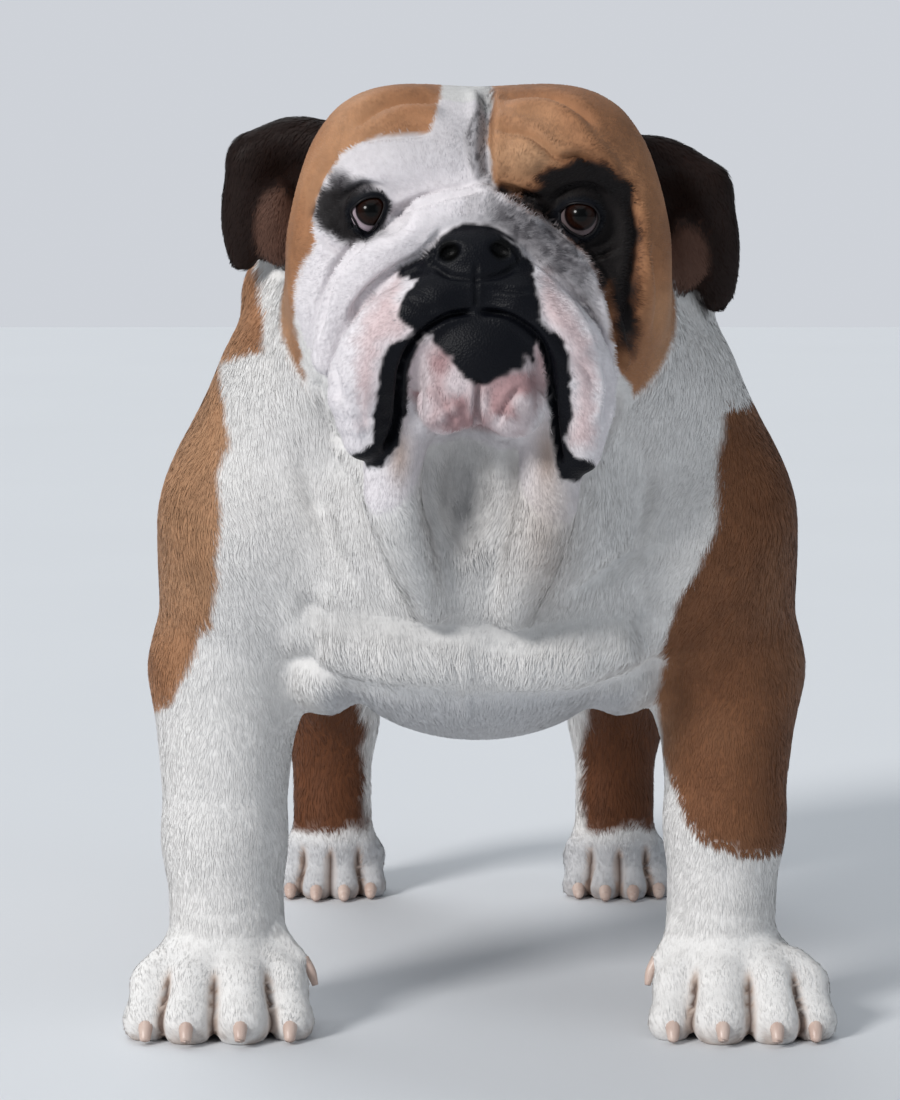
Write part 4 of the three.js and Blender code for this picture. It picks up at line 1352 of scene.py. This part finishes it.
def tube(bm, path, radius, sides, closed):
    """A tube through points; radius is one number or one for each point."""
    count = len(path)
    radii = np.broadcast_to(radius, (count,))
    rings = []
    for i, spot in enumerate(path):
        ahead = path[(i + 1) % count] if closed or i < count - 1 else path[i]
        behind = path[i - 1] if closed or i > 0 else path[i]
        along = Vector(ahead - behind).normalized()
        turn = along.to_track_quat("Z", "Y").to_matrix().to_4x4()
        place = Matrix.Translation(Vector(spot)) @ turn
        ring = bmesh.ops.create_circle(bm, segments=sides, radius=float(radii[i]), matrix=place)["verts"]
        rings.append(ring)
    pairs = list(zip(rings[:-1], rings[1:]))
    if closed:
        pairs.append((rings[-1], rings[0]))
    for one, two in pairs:
        near = min(range(sides), key=lambda k: (one[0].co - two[k].co).length)
        for j in range(sides):
            after = (j + 1) % sides
            bm.faces.new([one[j], one[after], two[(near + after) % sides], two[(near + j) % sides]])
    if not closed:
        bmesh.ops.contextual_create(bm, geom=rings[0])
        bmesh.ops.contextual_create(bm, geom=rings[-1])
    return rings


def finished(bm, name):
    """An object from a mesh in the dog's own millimetres."""
    bmesh.ops.recalc_face_normals(bm, faces=bm.faces)
    for face in bm.faces:
        face.smooth = True
    for vert in bm.verts:
        vert.co = Vector(to_frame(np.array(vert.co)))
    mesh = bpy.data.meshes.new(name)
    bm.to_mesh(mesh)
    bm.free()
    piece = bpy.data.objects.new(name, mesh)
    bpy.context.scene.collection.objects.link(piece)
    return piece


def make_lid_rims():
    """A thin dark rim along the edge of each eye's lids."""
    bm = bmesh.new()
    for side, (ex, ey, ez) in EYES.items():
        shell = EYE_RADIUS + LID_THICKNESS - RIM_INSET
        path = []
        for x, z in lid_outlines[side]:
            off = np.hypot(x - ex, z - ez)
            path.append(np.array([x, ey - math.sqrt(max(shell**2 - off**2, 4.0)), z]))
        tube(bm, path, RIM_RADIUS, 8, True)
    return finished(bm, "lid_rims")


# Claws: rows of place and radius from the root to the tip
DEWCLAWS = [
    [(-98, 50, 39, 3.6), (-93.5, 48, 32, 3.0), (-91, 46, 25, 1.8)],
    [(101, 50, 39, 3.4), (97, 48, 32, 2.8), (95.5, 46, 25, 1.7)],
]


def make_claws():
    """One claw on each toe, and the two dewclaws of the fore paws."""
    bm = bmesh.new()
    for paw in paws.values():
        for toe in paw["toes"]:
            x, y, z = toe["tip"]
            front = y - toe["fat"]
            root = (x, y - toe["fat"] * 0.4, z + 1, 4.6)
            add_claw(bm, [root, (x, front - 2, z - 2, 3.9), (x, front - 6, z - 7, 2.9)])
    for rows in DEWCLAWS:
        add_claw(bm, rows)
    return finished(bm, "claws")


# Rings that round off the tip: each one's share of the last radius, and how far ahead it stands
CLAW_TIP_RINGS = [(0.84, 0.5), (0.42, 0.45)]


def add_claw(bm, rows):
    """A curved horn with a blunt tip, through rows of place and radius."""
    spots = smooth_string(rows, 9)
    heading = unit((spots[-1] - spots[-2])[None, :3])[0]
    for share, ahead in CLAW_TIP_RINGS:
        end = spots[8].copy()
        end[:3] += heading * end[3] * ahead
        end[3] *= share
        spots = np.vstack([spots, end])
    spots[:, 2] = np.maximum(spots[:, 2], spots[:, 3] + 0.1)
    tube(bm, spots[:, :3], spots[:, 3], 12, False)


# Materials


def new_material(name):
    material = bpy.data.materials.new(name)
    material.use_nodes = True
    tree = material.node_tree
    return material, tree, tree.nodes["Principled BSDF"]


def node(tree, kind, **settings):
    made = tree.nodes.new(kind)
    for key, value in settings.items():
        setattr(made, key, value)
    return made


def grain(tree, size, detail=3.0, stretch=None):
    """Noise on the piece's own coordinates; size is in metres."""
    place = node(tree, "ShaderNodeTexCoord")
    noise = node(tree, "ShaderNodeTexNoise")
    noise.inputs["Scale"].default_value = 1.0 / size
    noise.inputs["Detail"].default_value = detail
    source = place.outputs["Object"]
    if stretch:
        mapping = node(tree, "ShaderNodeMapping")
        mapping.inputs["Scale"].default_value = stretch
        tree.links.new(source, mapping.inputs["Vector"])
        source = mapping.outputs["Vector"]
    tree.links.new(source, noise.inputs["Vector"])
    return noise.outputs["Fac"]


def ranged(tree, source, low, high):
    spread = node(tree, "ShaderNodeMapRange")
    spread.inputs["To Min"].default_value = low
    spread.inputs["To Max"].default_value = high
    tree.links.new(source, spread.inputs["Value"])
    return spread.outputs["Result"]


def blended(tree, factor, a, b):
    """a turned into b by factor; each is a number or a socket."""
    out = node(tree, "ShaderNodeMix")
    for name, value in (("Factor", factor), ("A", a), ("B", b)):
        if isinstance(value, (int, float)):
            out.inputs[name].default_value = value
        else:
            tree.links.new(value, out.inputs[name])
    return out.outputs["Result"]


def coat_material(name, roughness, sheen, specular):
    """The coat's own markings, with a fine uneven tone."""
    material, tree, shader = new_material(name)
    hue = node(tree, "ShaderNodeAttribute", attribute_name="coat_colour")
    tone = node(tree, "ShaderNodeHueSaturation")
    tree.links.new(hue.outputs["Color"], tone.inputs["Color"])
    tree.links.new(ranged(tree, grain(tree, 0.004), 0.86, 1.12), tone.inputs["Value"])
    tree.links.new(tone.outputs["Color"], shader.inputs["Base Color"])
    shader.inputs["Roughness"].default_value = roughness
    shader.inputs["Sheen Weight"].default_value = sheen
    shader.inputs["Sheen Roughness"].default_value = 0.5
    shader.inputs["Specular IOR Level"].default_value = specular
    return material, tree, shader


def skin_material():
    """Haired skin, and bare pebbled leather on the nose and lips."""
    material, tree, shader = coat_material("skin_and_leather", 0.6, 0.0, 0.12)
    bare = node(tree, "ShaderNodeAttribute", attribute_name="bare").outputs["Fac"]
    hair = grain(tree, 0.0009, 2.0, (1.0, 1.0, 0.3))
    pebbles = node(tree, "ShaderNodeTexVoronoi")
    pebbles.inputs["Scale"].default_value = 1 / 0.0011
    tree.links.new(node(tree, "ShaderNodeTexCoord").outputs["Object"], pebbles.inputs["Vector"])
    surface = blended(tree, bare, hair, pebbles.outputs["Distance"])
    bump = node(tree, "ShaderNodeBump")
    bump.inputs["Strength"].default_value = 0.5
    bump.inputs["Distance"].default_value = 0.0004
    tree.links.new(surface, bump.inputs["Height"])
    tree.links.new(bump.outputs["Normal"], shader.inputs["Normal"])
    tree.links.new(blended(tree, bare, 0.62, ranged(tree, grain(tree, 0.003), 0.38, 0.52)),
                   shader.inputs["Roughness"])
    return material


PUPIL_BLACK = (0.001, 0.001, 0.001)
IRIS_INNER = (0.006, 0.002, 0.001)
IRIS_BROWN = (0.014, 0.004, 0.002)
IRIS_OUTER = (0.006, 0.002, 0.002)
IRIS_EDGE = (0.003, 0.002, 0.002)


def eye_material(name, white):
    """A dark red-brown iris round the pupil, and the white beyond it with a ring of painted shade where it
    meets the iris, wet all over.
    """
    material, tree, shader = new_material(name)
    place = node(tree, "ShaderNodeUVMap", uv_map="front")
    centred = node(tree, "ShaderNodeVectorMath", operation="DISTANCE")
    centred.inputs[1].default_value = (0.5, 0.5, 0.0)
    tree.links.new(place.outputs["UV"], centred.inputs[0])
    ring = node(tree, "ShaderNodeValToRGB")
    # the stop at 0.204 is a ring of painted shade on the white next to the iris
    stops = [
        (0.0, PUPIL_BLACK), (0.075, PUPIL_BLACK), (0.088, IRIS_INNER), (0.150, IRIS_BROWN),
        (0.176, IRIS_OUTER), (0.190, IRIS_EDGE), (0.204, tuple(0.6 * part for part in white)), (0.25, white),
    ]
    ramp = ring.color_ramp.elements
    while len(ramp) < len(stops):
        ramp.new(0.5)
    for element, (spot, colour) in zip(ramp, stops):
        element.position = spot
        element.color = (*colour, 1.0)
    tree.links.new(centred.outputs["Value"], ring.inputs["Fac"])
    tree.links.new(ring.outputs["Color"], shader.inputs["Base Color"])
    shader.inputs["Roughness"].default_value = 0.3
    shader.inputs["Specular IOR Level"].default_value = 0.04
    shader.inputs["Coat Weight"].default_value = 0.25
    shader.inputs["Coat Roughness"].default_value = 0.03
    return material


def plain_material(name, colour, roughness, speckle=0.15, grain_size=0.002):
    """One colour with a faint speckle."""
    material, tree, shader = new_material(name)
    tone = node(tree, "ShaderNodeHueSaturation")
    tone.inputs["Color"].default_value = (*colour, 1.0)
    tree.links.new(ranged(tree, grain(tree, grain_size), 1 - speckle, 1 + speckle), tone.inputs["Value"])
    tree.links.new(tone.outputs["Color"], shader.inputs["Base Color"])
    shader.inputs["Roughness"].default_value = roughness
    shader.inputs["Specular IOR Level"].default_value = 0.2
    return material


LID_RIM_BLACK = (0.006, 0.005, 0.006)
DARK_HORN = (0.40, 0.25, 0.20)
PALE_HORN = (0.80, 0.66, 0.58)


def claw_material():
    """Pale pinkish horn with a fine darker grain."""
    material, tree, shader = new_material("claw_horn")
    ramp = node(tree, "ShaderNodeValToRGB")
    for element, colour in zip(ramp.color_ramp.elements, (DARK_HORN, PALE_HORN)):
        element.color = (*colour, 1.0)
    tree.links.new(grain(tree, 0.006, 4.0, (1.0, 0.3, 0.3)), ramp.inputs["Fac"])
    tree.links.new(ramp.outputs["Color"], shader.inputs["Base Color"])
    shader.inputs["Roughness"].default_value = 0.38
    return material


# Assembly

skin = make_skin()
skin.data.materials.clear()
skin.data.materials.append(skin_material())
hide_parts(*FLESH)
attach(skin, "root")

hair = coat_material("short_hair", 0.6, 0.04, 0.18)[0]
for piece in make_coat(skin):
    piece.data.materials.append(hair)
    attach(piece, "root")

for side in EYES:
    eye = make_eye(side)
    eye.data.materials.append(eye_material("wet_eye_" + side, EYE_WHITE_AND_SHADE[side]))
    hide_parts("eye_" + side)
    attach(eye, "root")

rims = make_lid_rims()
rims.data.materials.append(plain_material("lid_rim", LID_RIM_BLACK, 0.4))
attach(rims, "root")

claws = make_claws()
claws.data.materials.append(claw_material())
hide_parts(*(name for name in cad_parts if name.startswith("claw_")))
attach(claws, "root")

# Floor, light and camera; places here are in metres in the frame

FLOOR_GREY = (0.70, 0.715, 0.74)
SKY_COLOUR = (0.80, 0.90, 1.0)
SKY_STRENGTH = 0.24
BACKDROP_GREY = (0.62, 0.645, 0.69)
LIGHTS = [
    # name, heading, lift, width, strength, colour
    ("key", -44, 30, 16, 2.25, (1.0, 0.985, 0.97)),
    ("fill", 60, 20, 40, 0.15, (0.90, 0.95, 1.0)),
    ("window", -155, 48, 40, 0.95, (0.95, 0.98, 1.0)),
    ("overhead", 0, 80, 60, 0.55, (0.97, 0.99, 1.0)),
]
SENSOR_WIDTH = 36.0
CAMERA_LENS = 137.93
CAMERA_PLACE = (-0.01484, -2.47349, 0.54367)
CAMERA_DIP = 0.116915

def add_floor():
    bm = bmesh.new()
    bmesh.ops.create_grid(bm, x_segments=1, y_segments=1, size=6.0)
    mesh = bpy.data.meshes.new("floor")
    bm.to_mesh(mesh)
    bm.free()
    floor = bpy.data.objects.new("floor", mesh)
    bpy.context.scene.collection.objects.link(floor)
    floor.data.materials.append(plain_material("pale_floor", FLOOR_GREY, 0.7, 0.02, 0.5))


def add_wide_light(name, heading, lift, width, strength, colour):
    """Soft light that is the same over the whole floor; heading runs from the dog's face to its left."""
    data = bpy.data.lights.new(name, "SUN")
    data.energy = strength
    data.angle = math.radians(width)
    data.color = colour
    light = bpy.data.objects.new(name, data)
    light.rotation_euler = (math.radians(90 - lift), 0.0, math.radians(heading))
    bpy.context.scene.collection.objects.link(light)


def add_world():
    """Dim light from all round, and a pale backdrop that only shows behind the dog."""
    world = bpy.data.worlds.new("studio")
    world.use_nodes = True
    tree = world.node_tree
    around = tree.nodes["Background"]
    around.inputs["Color"].default_value = (*SKY_COLOUR, 1.0)
    around.inputs["Strength"].default_value = SKY_STRENGTH
    backdrop = node(tree, "ShaderNodeBackground")
    backdrop.inputs["Color"].default_value = (*BACKDROP_GREY, 1.0)
    seen = node(tree, "ShaderNodeLightPath")
    both = node(tree, "ShaderNodeMixShader")
    tree.links.new(seen.outputs["Is Camera Ray"], both.inputs["Fac"])
    tree.links.new(around.outputs["Background"], both.inputs[1])
    tree.links.new(backdrop.outputs["Background"], both.inputs[2])
    tree.links.new(both.outputs["Shader"], tree.nodes["World Output"].inputs["Surface"])
    bpy.context.scene.world = world
    bpy.context.scene.view_settings.view_transform = "Standard"


def add_camera():
    """The camera that the photo is matched to."""
    data = bpy.data.cameras.new("camera")
    data.sensor_width = SENSOR_WIDTH
    data.lens = CAMERA_LENS
    camera = bpy.data.objects.new("camera", data)
    camera.location = CAMERA_PLACE
    camera.rotation_euler = (math.pi / 2 - CAMERA_DIP, 0.0, 0.0)
    bpy.context.scene.collection.objects.link(camera)
    bpy.context.scene.camera = camera


add_floor()
for light in LIGHTS:
    add_wide_light(*light)
add_world()
add_camera()
